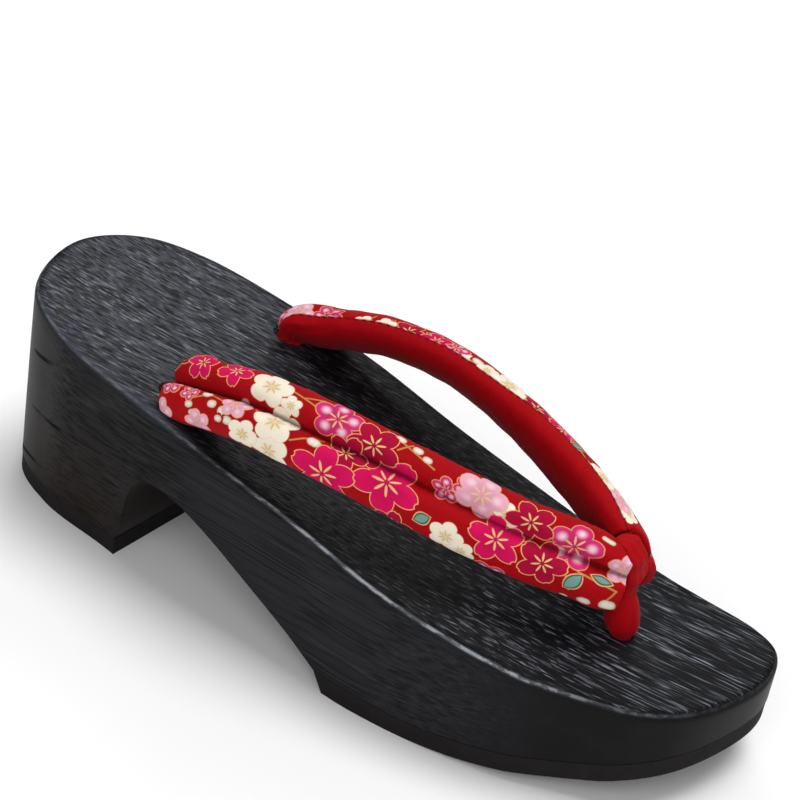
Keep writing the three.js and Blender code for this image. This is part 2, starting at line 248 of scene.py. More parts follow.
# Distance of each edge from the centre line: along, right (outer), left (inner)
deck_plan = [
    (8.6, 24.4, 24.2), (27, 35.2, 35.2), (58, 38.9, 40.2), (88, 40.3, 41), (122, 40.4, 38.8),
    (152, 40.9, 39), (184, 36.2, 39.4), (208, 27.8, 41), (226, 16.2, 41.4), (235, 3.2, 37.6),
]
heel_point, toe_point = (-0.4, 3.0), (DECK_LENGTH, 22.0)

# Height of the deck: along, height
deck_rows = [(-10, 68.0), (0, 66.2), (35, 59.6), (80, 53.2), (120, 46.9)]
deck_rows += [(160, 39.7), (200, 33.6), (240, 30.8), (252, 30.2)]

# The arch from the heel block forwards: along, height
arch_rows = [(60.2, 10), (62.0, 22), (64.6, 28.6), (69.2, 32.1), (77.0, 32.7)]
arch_rows += [(85.0, 30.9), (96.0, 26.6), (109.3, 20.0), (125.0, 12.1)]


def metres(points):
    """The maker's millimetres from the heel as metres from the shoe's middle."""
    return (np.array(points, float) - (CENTRE_X, CENTRE_Y, 0)) / 1000


def even_spline(rows, steps):
    """A smooth line through rows, equal steps between each two."""
    rows = np.array(rows, float)
    made = []
    for i in range(len(rows) - 1):
        p0, p1, p2 = rows[max(i - 1, 0)], rows[i], rows[i + 1]
        p3 = rows[min(i + 2, len(rows) - 1)]
        v0, v1 = (p2 - p0) / 2, (p3 - p1) / 2
        for u in np.linspace(0, 1, steps, endpoint=False):
            bend = (2 * (p1 - p2) + v0 + v1) * u**3 + (3 * (p2 - p1) - 2 * v0 - v1) * u**2
            made.append(bend + v0 * u + p1)
    return np.array([*made, rows[-1]])


deck_line = even_spline(deck_rows, 24)
arch_line = even_spline(arch_rows, 24)
under_line = [(-30, WOOD_FOOT), (HEEL_FRONT, WOOD_FOOT), *arch_line, (FOREFOOT_BACK, WOOD_FOOT)]
under_line = np.array(under_line)


def deck_height(x):
    """Top of the wood."""
    return np.interp(x, deck_line[:, 0], deck_line[:, 1])


def sole_rise(x):
    """How far the sole is off the floor at the toe spring."""
    return TOE_SPRING * (np.maximum(0, x - SPRING_START) / (DECK_LENGTH - SPRING_START)) ** 2


def under_height(x):
    """Underside of the wood: heel, arch, then the sprung forefoot."""
    behind = np.interp(x, under_line[:, 0], under_line[:, 1])
    return np.where(x < FOREFOOT_BACK, behind, WOOD_FOOT + sole_rise(x))


def plan_sides(stations):
    """The deck's outline as two lines from heel to toe, finer where the arch is steep."""
    right = [(x, -r) for x, r, l in deck_plan]
    left = [(x, l) for x, r, l in reversed(deck_plan)]
    loop = np.array([heel_point, *right, toe_point, *left], float)
    count = len(loop)
    spans = []
    for i in range(count):
        p0, p1, p2, p3 = (loop[(i + k) % count] for k in (-1, 0, 1, 2))
        d0, d1, d2 = (math.sqrt(np.linalg.norm(a - b)) for a, b in ((p1, p0), (p2, p1), (p3, p2)))
        v1 = ((p1 - p0) / d0 - (p2 - p0) / (d0 + d1) + (p2 - p1) / d1) * d1
        v2 = ((p2 - p1) / d1 - (p3 - p1) / (d1 + d2) + (p3 - p2) / d2) * d1
        u = np.linspace(0, 1, 60, endpoint=False)[:, None]
        square, cube = 3 * (p2 - p1) - 2 * v1 - v2, 2 * (p1 - p2) + v1 + v2
        spans.append(p1 + v1 * u + square * u**2 + cube * u**3)
    half = len(deck_plan) + 1
    right_line = np.vstack([*spans[:half], loop[half]])
    left_line = np.vstack([*spans[half:], loop[0]])[::-1]
    sides = []
    for line in (right_line, left_line):
        middle = (line[1:, 0] + line[:-1, 0]) / 2
        at_arch = np.exp(-(((middle - ARCH_STEEPEST) / 4) ** 2))
        at_forefoot = np.exp(-(((middle - FOREFOOT_BACK) / 3) ** 2))
        closeness = 1 + 4 * at_arch + 2 * at_forefoot
        steps = closeness * np.linalg.norm(np.diff(line, axis=0), axis=1)
        measure = np.concatenate([[0], np.cumsum(steps)])
        at = np.linspace(0, measure[-1], stations + 1)
        sides.append(np.stack([np.interp(at, measure, line[:, k]) for k in (0, 1)], 1))
    shared = (sides[0][:, 0] + sides[1][:, 0]) / 2
    for edge in (HEEL_FRONT, FOREFOOT_BACK):
        shared[np.argmin(abs(shared - edge))] = edge
    for side, line in zip(sides, (right_line, left_line)):
        straight = np.clip((shared - EVEN_FROM) / 12, 0, 1) * np.clip((EVEN_TO - shared) / 16, 0, 1)
        widest = int(np.argmax(line[:, 0]))
        side[:, 0] += (shared - side[:, 0]) * straight
        across = np.interp(side[:, 0], line[: widest + 1, 0], line[: widest + 1, 1])
        side[:, 1] += (across - side[:, 1]) * straight
    return sides


def ring_faces(rows, around, closed=False):
    """Quads between rings of points; where closed, the last ring joins the first."""
    faces = []
    for r in range(rows if closed else rows - 1):
        for k in range(around):
            n, up = (k + 1) % around, (r + 1) % rows
            faces.append((r * around + k, r * around + n, up * around + n, up * around + k))
    return faces


def block_mesh(right, left, levels, top, bottom, columns):
    """A block from its plan: walls in levels, and a top and bottom in columns across."""
    ring = np.vstack([right, left[-2:0:-1]])
    stations = len(right) - 1
    count = len(ring)
    before, after = np.roll(ring, 1, axis=0), np.roll(ring, -1, axis=0)
    across = after - before
    normal = np.stack([across[:, 1], -across[:, 0]], 1)
    normal /= np.linalg.norm(normal, axis=1)[:, None]
    walls = [level(ring, normal) for level in levels]
    points = [np.vstack(walls)]
    faces = ring_faces(len(walls), count)
    start = len(walls) * count
    for wall, height in ((walls[-1], top), (walls[0], bottom)):
        for i in range(stations + 1):
            a, b = wall[i], wall[(count - i) % count]
            row = a + (b - a) * np.linspace(0, 1, columns + 1)[:, None]
            row[1:-1, 2] = height(row[1:-1, 0])
            points.append(row)
        for i in range(stations):
            for k in range(columns):
                corner = start + i * (columns + 1) + k
                faces.append((corner, corner + 1, corner + columns + 2, corner + columns + 1))
        start += (stations + 1) * (columns + 1)
    return metres(np.vstack(points)), faces


def heel_inset(x, normal, z):
    """How far the wall draws in under the heel, fading out ahead of it."""
    u = np.clip((x - HEEL_FRONT + TAPER_LEAD) / TAPER_FADE, 0, 1)
    along = 1 - u * u * (3 - 2 * u)
    down = np.clip(1 - z / deck_height(x), 0, 1)
    sideways = HEEL_BACK_SHARE + (1 - HEEL_BACK_SHARE) * normal[:, 1] ** 2
    return HEEL_TAPER * along * sideways * down**1.3


def wood_level(share, ease):
    """A ring of the wood's wall: share of the way up, or ease in degrees round the deck edge."""

    def level(ring, normal):
        x = ring[:, 0]
        low, high = under_height(x), deck_height(x) - DECK_EASE
        if share is not None:
            z = low + (high - low) * share
            draw = heel_inset(x, normal, z)
        else:
            turn = math.radians(ease)
            z = high + DECK_EASE * math.sin(turn)
            nick = np.exp(-(((ring[:, 1] - NICK_PLACE) / 1.3) ** 2)) * (x < 40) * (ease > 20)
            draw = heel_inset(x, normal, z) + DECK_EASE * (1 - math.cos(turn)) + NICK_DEPTH * nick
        drawn = ring - normal * draw[:, None]
        low, high = under_height(drawn[:, 0]), deck_height(drawn[:, 0])
        if share is None:
            return np.column_stack([drawn, high - DECK_EASE * (1 - math.sin(turn))])
        return np.column_stack([drawn, low * (1 - share) + (high - DECK_EASE) * share])

    return level


lacquer = Finish("black_lacquered_wood", Specular_IOR_Level=0.115)
right_side, left_side = plan_sides(SIDE_STATIONS)
wall_levels = [wood_level(share, 0) for share in np.linspace(0, 1, WALL_LEVELS)]
wall_levels += [wood_level(None, ease) for ease in range(10, 91, 10)]
levels_and_caps = (wall_levels, deck_height, under_height, DECK_COLUMNS)
points, faces = block_mesh(right_side, left_side, *levels_and_caps)
wood = mesh_piece("geta_wood", points, faces, lacquer.material)

# Thong holes: two at the back that lean forward through the deck into the arch, and one in
# front that opens into a round pocket for the knot under the forefoot.
REAR_HOLE, FRONT_HOLE = 4.6, 3.8  # radii
REAR_HOLE_PLACE, REAR_HOLE_SHIFT = 63.6, 1.7
HOLE_SIDES = 72
rear_hole_top = (REAR_HOLE_PLACE + REAR_HOLE_SHIFT, 26.2, 55.6)
rear_hole_bottom = (REAR_HOLE_PLACE + 10 + REAR_HOLE_SHIFT, 26.2, 31.0)
front_centre = (202.4, 4.8)
HOLE_BACK, HOLE_ASIDE = 1.0, 1.6
KNOT = 6.9
POCKET_RADIUS, POCKET_DEPTH = KNOT + 1.2, 9.0


def keep_result(piece):
    """Makes what the modifiers show the piece's own plain mesh."""
    shown = piece.evaluated_get(bpy.context.evaluated_depsgraph_get())
    result = bpy.data.meshes.new_from_object(shown)
    piece.modifiers.clear()
    piece.data = result


def drill(start, end, radius):
    """Takes a round hole out of the wood, from start to end in the maker's millimetres."""
    a, b = (Vector(spot) for spot in metres([start, end]))
    form = bmesh.new()
    turn = (b - a).to_track_quat("Z", "X").to_matrix().to_4x4()
    size = {"segments": HOLE_SIDES, "depth": (b - a).length}
    size.update({"radius1": radius / 1000, "radius2": radius / 1000})
    axis = Matrix.Translation((a + b) / 2) @ turn
    bmesh.ops.create_cone(form, cap_ends=True, matrix=axis, **size)
    mesh = bpy.data.meshes.new("drill")
    form.to_mesh(mesh)
    form.free()
    cutter = placed("drill", mesh)
    cut = wood.modifiers.new("hole", "BOOLEAN")
    cut.operation, cut.solver, cut.object = "DIFFERENCE", "EXACT", cutter
    keep_result(wood)
    bpy.data.objects.remove(cutter)


def rear_hole_axis(side, above, below):
    """The line of a rear hole, lengthened past both ends."""
    top = np.array(rear_hole_top) * (1, side, 1)
    bottom = np.array(rear_hole_bottom) * (1, side, 1)
    down = (bottom - top) / np.linalg.norm(bottom - top)
    return top - down * above, bottom + down * below


for side in (-1, 1):
    drill(*rear_hole_axis(side, 16, 8), REAR_HOLE)
pocket_top = float(sole_rise(front_centre[0])) + TREAD + POCKET_DEPTH
front_hole = (front_centre[0] - HOLE_BACK, front_centre[1] + HOLE_ASIDE)
drill((*front_hole, -1), (*front_hole, 48), FRONT_HOLE)
drill((*front_centre, -1), (*front_centre, pocket_top), POCKET_RADIUS)
wood.data.shade_smooth()
wood.data.set_sharp_from_angle(angle=math.radians(38))

# How near each point is to the deck's rim, and whether it is on the deck, for the finish
ring = np.vstack([right_side, left_side[-2:0:-1]])
spot = np.array([v.co for v in wood.data.vertices]) * 1000 + (CENTRE_X, CENTRE_Y, 0)
rim = np.array([np.min(np.hypot(*(ring - p[:2]).T)) for p in spot])
drop = deck_height(spot[:, 0]) - spot[:, 2]
deck_share = np.clip(1.2 - drop / 1.6, 0, 1)
edge_share = np.exp(-(((rim - 1.1) / 1.3) ** 2)) * np.exp(-((drop / 2.2) ** 2))
rim_share = np.exp(-(((rim - 0.7) / 0.3) ** 2)) * np.exp(-(((drop - 0.7) / 0.5) ** 2))


def write_field(mesh, name, values):
    """Stores one number for each point of the mesh, for a finish to read."""
    field = mesh.attributes.new(name, "FLOAT", "POINT")
    field.data.foreach_set("value", values.astype(np.float32).ravel())


for name, values in (("deck", deck_share), ("edge", edge_share), ("rim", rim_share)):
    write_field(wood.data, name, values)

# Lacquer finish: grain runs from heel to toe, a little slanted on the deck
here = lacquer.place()
x, y, z = lacquer.parts(here)
drift = lacquer.noise(lacquer.stretched(here, 9, 22, 22), 1.0, 2.0)
deck, edge, rim_line = (lacquer.field(name) for name in ("deck", "edge", "rim"))
wavy = lacquer.join(x, y + drift * 0.0015 - x * deck * 0.2, z + drift * 0.0015)
bands = lacquer.noise(lacquer.stretched(wavy, 4, 150, 150), 1.0, 3.0, 0.6)
lines = lacquer.noise(lacquer.stretched(wavy, 7, 1650, 1650), 1.0, 2.0, 0.5)
breaks = lacquer.noise(lacquer.stretched(wavy, 26, 1000, 1000), 1.0, 3.0, 0.6)
facing = lacquer.node("ShaderNodeNewGeometry", None, None, "Normal")
end_grain = lacquer.step(abs(lacquer.parts(facing)[0]), 0.12, 0.42) * (1.0 - deck)
heel_end = lacquer.step(x, -0.035, -0.065)
toe_end = lacquer.step(x, 0.03, 0.07)
# The near strip of the deck between the outer strap and the rim: painted strap shadow that dims the
# silver grain there.
strap_shadow_strip = lacquer.step(y, -0.016, -0.027) * (1.0 - heel_end) * (1.0 - toe_end)
pores = lacquer.step(lines, 0.5, 0.38)
ridges = lacquer.step(lines, 0.54, 0.64)
broken = 0.25 + lacquer.step(breaks, 0.45, 0.58) * 0.75
silver = ridges * broken * (0.55 + lacquer.step(bands, 0.42, 0.6) * 0.45)
# The silver line along the near rim: worn lacquer and a painted highlight where the eased edge
# turns to the light, broken into specks.
rim_speckle = lacquer.noise(lacquer.stretched(here, 130, 420, 420), 1.0, 3.0, 0.7)
rub_and_highlight_run = lacquer.step(x, -0.03, 0.0) * lacquer.step(x, 0.1, 0.07)
near_side = lacquer.step(y, -0.005, -0.02)
patchy = 0.25 + lacquer.step(rim_speckle, 0.42, 0.58) * 0.75
rub_and_highlight = rim_line * patchy * (0.05 + near_side * (0.2 + rub_and_highlight_run * 0.6))
# A lighter bluish-grey band on the near heel's eased edge: a painted highlight on the chamfer.
facet = edge * near_side * lacquer.step(x, -0.03, -0.05) * lacquer.step(x, -0.112, -0.098)
CRACK_SPACING = 0.019
ring_place = z - x * 0.14 - abs(y) * 0.14 + drift * 0.016 - 0.003
ring_line = (ring_place * (2 * math.pi / CRACK_SPACING)).math("SINE")
crack = lacquer.step(ring_line, 0.965, 0.997) * lacquer.step(bands, 0.34, 0.47) * (1.0 - deck)
split_run = lacquer.noise(lacquer.stretched(here, 34, 34, 60), 1.0, 2.0)
crack = crack * lacquer.step(x, -0.045, -0.08) * lacquer.step(split_run, 0.43, 0.53)
# The deck's ground: near black in the middle, lighter and bluer at the heel end as a painted
# reflection of the window light, a little lighter at the toe.
deck_ground = lacquer.mix(heel_end, colour("09090b"), colour("313239"))
deck_ground = lacquer.mix(toe_end, deck_ground, colour("101115"))
# The walls' ground: lighter along the waist, and painted darker at the heel end as painted shade
# against the window light's sheen there.
waist = lacquer.step(x, -0.06, -0.01) * lacquer.step(x, 0.09, 0.05)
wall_ground = lacquer.mix(waist, colour("08080a"), colour("1c1c20"))
wall_ground = lacquer.mix(heel_end, wall_ground, colour("050505"))
ground = lacquer.mix(deck, wall_ground, deck_ground)
# How much the grain shows silver: some all over the deck, more at the heel end as a painted
# reflection of the window light, more at the toe, and less on the near strip as painted strap
# shadow.
grain_silver_and_sheen = deck * (0.24 + heel_end * 0.36 + toe_end * 0.48) * (1.0 - strap_shadow_strip * 0.6)
for share, code in (
    (lacquer.step(bands, 0.42, 0.68) * (0.3 + heel_end * 0.1), "16171b"),
    (pores * (0.55 + deck * 0.2) * (1.0 - end_grain * 0.85), "060607"),
    (silver * (0.05 + grain_silver_and_sheen) * (1.0 - end_grain * 0.9), "8d929c"),
    ((1.0 - deck) * heel_end * lacquer.step(z, 0.05, 0.008) * 0.45, "21160e"),
    (crack * 0.9, "010101"),
    # The eased edge painted darker than the deck and walls: painted shade on the rounding, except
    # on the near heel's lit band.
    (edge * (1.0 - facet) * 0.7, "070708"),
    (facet * 0.6, "3c3f49"),
    (rub_and_highlight, "b4b9c2"),
):
    ground = lacquer.mix(share, ground, colour(code))
lacquer.set("Base Color", ground)
open_pores = pores * (1.0 - end_grain)
lacquer.set("Roughness", 0.46 - deck * 0.06 + open_pores * 0.25 + crack * 0.4 + edge * 0.3)
relief = (lines * 0.8 + bands * 0.4 - crack * 2.5) * (0.1 + deck * 0.9)
lacquer.bump(relief * (1.0 - edge * 0.7) * (1.0 - end_grain * 0.8), 0.35, 0.0005)
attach(wood, "root")
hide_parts("wood_body")

# Rubber treads: thin black crepe sheets glued under the heel and forefoot blocks and trimmed
# flush with the wood, so a fine dark seam shows between them.
TREAD_INSET = 0.15
TREAD_BACK_LEAN = 3.6
TREAD_LEAN_REACH = 15.0
TREAD_HEIGHTS = (0, 0.25, 1.2, 2.6, 4.2, 5.3, TREAD)
TREAD_COLUMNS = 16
rubber = Finish("crepe_rubber", Specular_IOR_Level=0.2)


def cut_sides(low, high):
    """The part of the plan between two distances from the heel."""
    cut = []
    for side in (right_side, left_side):
        line = [side[(side[:, 0] > low) & (side[:, 0] < high)]]
        ordered = side[np.argsort(side[:, 0])]
        if low > 0:
            line.insert(0, [(low, np.interp(low, *ordered.T))])
        if high < DECK_LENGTH:
            line.append([(high, np.interp(high, *ordered.T))])
        cut.append(np.vstack(line))
    return cut


def tread_level(height, back):
    """A ring of a tread's edge at this height; back is where the forefoot tread starts."""

    def level(ring, normal):
        x = ring[:, 0]
        z = sole_rise(x) + height
        cut_end = x == (back or HEEL_FRONT)
        facing = np.where(cut_end[:, None], np.column_stack([0 * x, np.sign(ring[:, 1])]), normal)
        draw = TREAD_INSET + heel_inset(x, facing, z)
        drawn = np.column_stack([ring - facing * draw[:, None], z])
        if back:
            lean = TREAD_BACK_LEAN * (1 - height / TREAD)
            drawn[:, 0] += lean * np.clip(1 - (x - back) / TREAD_LEAN_REACH, 0, 1)
        else:
            drawn[:, 0] = np.minimum(drawn[:, 0], HEEL_FRONT)
        drawn[:, 2] = sole_rise(drawn[:, 0]) + height
        return drawn

    return level


for name, solid, low, high, back in (
    ("heel_rubber", "heel_tread", -5, HEEL_FRONT, None),
    ("forefoot_rubber", "forefoot_tread", FOREFOOT_BACK, 300, FOREFOOT_BACK),
):
    sides = cut_sides(low, high)
    fewer = min(len(side) for side in sides)
    if back is None:
        right, left = (side[-fewer:] for side in sides)
        right[0] = left[0] = heel_point
    else:
        right, left = (side[:fewer] for side in sides)
        right[-1] = left[-1] = toe_point
    levels = [tread_level(height, back) for height in TREAD_HEIGHTS]
    caps = (lambda x: sole_rise(x) + TREAD, sole_rise, TREAD_COLUMNS)
    points, faces = block_mesh(right, left, levels, *caps)
    tread = mesh_piece(name, points, faces, rubber.material)
    tread.data.set_sharp_from_angle(angle=math.radians(35))
    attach(tread, "root")
    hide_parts(solid)

here = rubber.place()
crumb = rubber.noise(here, 900.0, 3.0, 0.65)
skin = rubber.noise(here, 160.0, 3.0, 0.6)
rubber.set("Base Color", rubber.mix(skin, colour("0e0c0d"), colour("1e1a1a")))
rubber.set("Roughness", 0.78 + crumb * 0.15)
rubber.bump(crumb + skin * 0.8, 0.5, 0.0005)

# Thong straps: one padded double-roll band on each side, cotton print over a soft core.
# The print wraps over the upper edge to a plain red lining, and a line of stitches down the
# middle pulls in the channel between the two rolls.
STRAP_HALF_WIDTH, STRAP_HALF_THICKNESS = 11.6, 6.3
CHANNEL_DEPTH, CHANNEL_WIDTH = 3.4, 1.9
CHANNEL_PULL = 3.6  # the stitches draw in by this much more once the band is stuffed
PAD_SLACK = 0.5
DECK_CLEARANCE, ARM_CLEARANCE = 0.35, 0.12
PUCKER_SPACING, CREASE_MARKS = 3.7, 24
TUCK = 3.4  # the print is measured from where the strap turns down into its hole
PRINT_REACH = 14.2  # from the channel round the band to the seam with the lining
NEAR_PRINT_REACH = 2.2  # the outer arm shows this much more of the print
SIM_SCALE, SIM_FRAMES = 20.0, 20  # puffed at twenty times its size, where the solver is steady
NECK = REAR_HOLE - GAP
KNOT_HALF_HEIGHT = 3.7
loop_centre = (197.4, 53.6)  # along, height
LOOP_LENGTH, LOOP_HEIGHT, LOOP_WALL, LOOP_WIDTH = 6.2, 9.6, 3.0, 8.4

# One row for each section: along, spread, height, lean in degrees, width and thickness shares
thong_rows = [
    (66.3, 26.4, 56.4, 58, 0.5, 0.5),
    (66.7, 26.5, 57.0, 58, 0.74, 0.78),
    (68.2, 26.9, 58.4, 58, 0.92, 0.97),
    (71.8, 27.8, 60.4, 57, 1, 1.03),
    (78.0, 29.1, 62.5, 56, 1, 1),
    (87.0, 30.6, 65.4, 53, 1, 1),
    (99.0, 31.9, 67.9, 50, 1, 1),
    (120.0, 31.7, 68.6, 44, 1, 1),
    (145.0, 27.4, 65.6, 36, 1, 1),
    (170.0, 20.0, 60.6, 27, 1, 1),
    (188.0, 12.0, 57.0, 28, 1, 1),
    (196.8, 7.0, 54.9, 31, 0.94, 0.9),
    (201.0, 4.4, 54.0, 33, 0.8, 0.74),
]
# Where the channel lies across the band: share of the arm's length, millimetres above the middle
channel_rows = [(0.0, 0.0), (0.4, 0.2), (0.65, 2.0), (0.85, 1.8), (1.0, 0.8)]


def thong_middle(x):
    """The line halfway between the arms, from the rear holes to the front one."""
    share = (x - REAR_HOLE_PLACE) / (front_centre[0] - REAR_HOLE_PLACE)
    return front_centre[1] * np.clip(share, 0, 1.1)


def band_grid(side, along, around, slack):
    """Points of one arm: rows along it, columns round it from the lining's middle over the top."""
    line = even_spline(thong_rows, 60)
    spread = thong_middle(line[:, 0]) + side * line[:, 1]
    path = np.column_stack([line[:, 0], spread, line[:, 2]])
    length = np.concatenate([[0], np.cumsum(np.linalg.norm(np.diff(path, axis=0), axis=1))])
    at = np.linspace(0, length[-1], along)
    row = np.stack([np.interp(at, length, line[:, k]) for k in range(6)], 1)
    path = np.stack([np.interp(at, length, path[:, k]) for k in range(3)], 1)
    forward = np.gradient(path, axis=0)
    forward /= np.linalg.norm(forward, axis=1)[:, None]
    lean = np.radians(row[:, 3])
    up = np.stack([0 * lean, -side * np.sin(lean), np.cos(lean)], 1)
    up -= (up * forward).sum(1)[:, None] * forward
    up /= np.linalg.norm(up, axis=1)[:, None]
    out = np.cross(up, forward) * side
    turn = np.linspace(-np.pi / 2, 1.5 * np.pi, around + 1)
    high, deep = (np.sign(v) * np.abs(v) ** 0.85 for v in (np.cos(turn), np.sin(turn)))
    half_width = STRAP_HALF_WIDTH * row[:, 4] - slack
    half_thick = STRAP_HALF_THICKNESS * row[:, 5] - slack
    across, depth = half_width[:, None] * high, half_thick[:, None] * deep
    share = at / length[-1]
    middle = np.interp(share, *zip(*channel_rows))
    channel = CHANNEL_DEPTH * (half_thick / STRAP_HALF_THICKNESS)[:, None]
    channel = channel * np.exp(-(((across - middle[:, None]) / CHANNEL_WIDTH) ** 2))
    depth = np.where(depth > 0, depth - channel, depth * 0.86)
    grid = path[:, None] + across[..., None] * up[:, None] + depth[..., None] * out[:, None]
    return grid, at, middle


def capped_faces(rows, around):
    """Quads between rings of points, and a face over each end."""
    last = (rows - 1) * around
    ends = [tuple(range(around)), tuple(last + k for k in reversed(range(around)))]
    return ring_faces(rows, around) + ends


def puffed(grid, pins, cap):
    """The band's grid after its padding blows it up; cap is how far each point may move."""
    along, around = grid.shape[:2]
    mesh = bpy.data.meshes.new("cloth")
    points = (grid.reshape(-1, 3) / 1000 * SIM_SCALE).tolist()
    mesh.from_pydata(points, [], capped_faces(along, around))
    face_outwards(mesh)
    cloth_piece = placed("cloth", mesh)
    sewn = cloth_piece.vertex_groups.new(name="sewn")
    for index, weight in enumerate(pins.reshape(-1)):
        if weight > 0:
            sewn.add([index], float(weight), "REPLACE")
    cloth = cloth_piece.modifiers.new("padding", "CLOTH")
    settings = {
        "quality": 6, "mass": 0.2, "vertex_group_mass": "sewn",
        "tension_stiffness": 20, "compression_stiffness": 12, "bending_stiffness": 0.4,
        "use_pressure": True, "uniform_pressure_force": 4.0,
    }
    for setting, value in settings.items():
        setattr(cloth.settings, setting, value)
    cloth.settings.effector_weights.gravity = 0
    cloth.collision_settings.use_collision = False
    cloth.point_cache.frame_start = 1
    cloth.point_cache.frame_end = SIM_FRAMES
    scene = bpy.context.scene
    for number in range(1, SIM_FRAMES + 1):
        scene.frame_set(number)
    evaluated = cloth_piece.evaluated_get(bpy.context.evaluated_depsgraph_get())
    moved = np.array([v.co for v in evaluated.data.vertices]) * 1000 / SIM_SCALE
    scene.frame_set(1)
    bpy.data.objects.remove(cloth_piece)
    shift = moved.reshape(grid.shape) - grid
    for _ in range(4):
        shift[1:-1] += ((shift[2:] + shift[:-2]) / 2 - shift[1:-1]) * 0.6
    size = np.linalg.norm(shift, axis=2, keepdims=True)
    return grid + shift * np.minimum(1, cap / np.maximum(size, 1e-6))


def finer(grid, times):
    """The grid with times as many steps each way, on smooth lines through its points."""
    along = even_spline(grid.reshape(len(grid), -1), times).reshape(-1, *grid.shape[1:])
    body = along[:, :-1].transpose(1, 0, 2)
    around = len(body)
    wrapped = np.concatenate([body[-2:], body, body[:3]]).reshape(around + 5, -1)
    lines = even_spline(wrapped, times)[2 * times : (around + 2) * times + 1]
    return lines.reshape(around * times + 1, len(along), 3).transpose(1, 0, 2)


def arc_from_middle(grid):
    """How far each column is round the band from the middle of the print, upwards positive."""
    steps = np.linalg.norm(np.diff(grid, axis=1), axis=2)
    arc = np.concatenate([np.zeros((len(grid), 1)), np.cumsum(steps, axis=1)], axis=1)
    return arc[:, arc.shape[1] // 2, None] - arc


def settled(grid, side):
    """Keeps the band off the deck, off the other arm and inside the front loop."""
    x, y, z = (grid[..., k].copy() for k in range(3))
    top, bottom = rear_hole_axis(side, 16, 8)
    line = (bottom - top) / np.linalg.norm(bottom - top)
    offset = grid - top
    off_axis = np.linalg.norm(offset - (offset @ line)[..., None] * line, axis=2)
    low = deck_height(x) + DECK_CLEARANCE
    open_share = np.clip((off_axis - (REAR_HOLE - 0.9)) / 0.6, 0, 1)
    z = z + np.maximum(0, low - z) * open_share
    middle = thong_middle(x)
    apart = (y - middle) * side
    y = y + np.maximum(0, ARM_CLEARANCE - apart) * side
    apart = np.maximum(apart, ARM_CLEARANCE)
    ahead, above = x - loop_centre[0], z - loop_centre[1]
    across = ahead / (LOOP_LENGTH - LOOP_WALL - GAP)
    reach = np.hypot(across, above / (LOOP_HEIGHT - LOOP_WALL - GAP))
    outer = np.hypot(ahead / (LOOP_LENGTH + 0.5), above / (LOOP_HEIGHT + 0.5))
    beside_loop = LOOP_WIDTH / 2 + 0.4
    held = (reach > 0.98) & (outer < 1.35) & (apart < beside_loop)
    y = np.where(held & (across < -0.1) & (outer < 1), middle + side * beside_loop, y)
    front = held & (across > -0.55)
    x = np.where(front, loop_centre[0] + ahead / np.maximum(reach, 1), x)
    z = np.where(front, loop_centre[1] + above / np.maximum(reach, 1), z)
    return np.stack([x, y, z], 2)


def eased(grid, rounds, part):
    """Evens out the folds, as cloth over padding does."""
    for _ in range(rounds):
        ring = grid[:, :-1]
        around = (np.roll(ring, 1, axis=1) + np.roll(ring, -1, axis=1)) / 2
        around = np.concatenate([around, around[:, :1]], axis=1)
        along = grid.copy()
        along[1:-1] = (grid[2:] + grid[:-2]) / 2
        grid = grid + ((around + along) / 2 - grid) * part
    return grid


def stitched_channel(grid, at, arc):
    """Pulls the print down along the line of stitches between the two rolls."""
    middle = np.interp(at / at[-1], *zip(*channel_rows))[:, None]
    down = grid[:, :1] - grid[:, [grid.shape[1] // 2]]
    down /= np.linalg.norm(down, axis=2, keepdims=True)
    beside = np.abs(arc - middle) * (np.abs(arc) < 12)
    ends = np.clip(at / 6, 0.25, 1)[:, None] * np.clip((at[-1] - at) / 8, 0.2, 1)[:, None]
    pull = CHANNEL_PULL * ends * np.exp(-(beside / 1.2)) * (np.abs(arc) < 12)
    return grid + down * pull[..., None]


def gathers(grid, at, arc, side):
    """Small puckers beside the stitched channel and soft creases towards both ends."""
    normal = np.cross(np.gradient(grid, axis=0), np.gradient(grid, axis=1))
    normal /= np.maximum(np.linalg.norm(normal, axis=2, keepdims=True), 1e-9)
    outwards = np.sign(((grid - grid.mean(axis=1, keepdims=True)) * normal).sum(2).mean())
    share = at / at[-1]
    channel_place = np.interp(share, *zip(*channel_rows))[:, None]
    beside = np.abs(arc - channel_place)
    rng = np.random.default_rng(7 + side)
    marks = np.cumsum(rng.uniform(0.6, 1.4, CREASE_MARKS))
    phase = np.interp(at, np.linspace(0, at[-1], CREASE_MARKS), marks)[:, None]
    uneven = phase * 1.7 + np.sign(arc - channel_place) * 0.5
    pucker = np.sin(at[:, None] * 2 * np.pi / PUCKER_SPACING + uneven)
    pucker = 0.16 * pucker * np.exp(-((beside / 2.6) ** 2))
    end = np.exp(-at / 12)[:, None] + 0.6 * np.exp(-(at[-1] - at) / 9)[:, None]
    crease = 0.16 * np.sin(arc * 1.5 + phase * 2.1) * end
    slow = 0.06 * np.sin(at[:, None] * 0.33 + arc * 0.21 + phase)
    slow += 0.04 * np.sin(at[:, None] * 0.71 - arc * 0.4)
    return grid + normal * outwards * (pucker + crease + slow)[..., None]


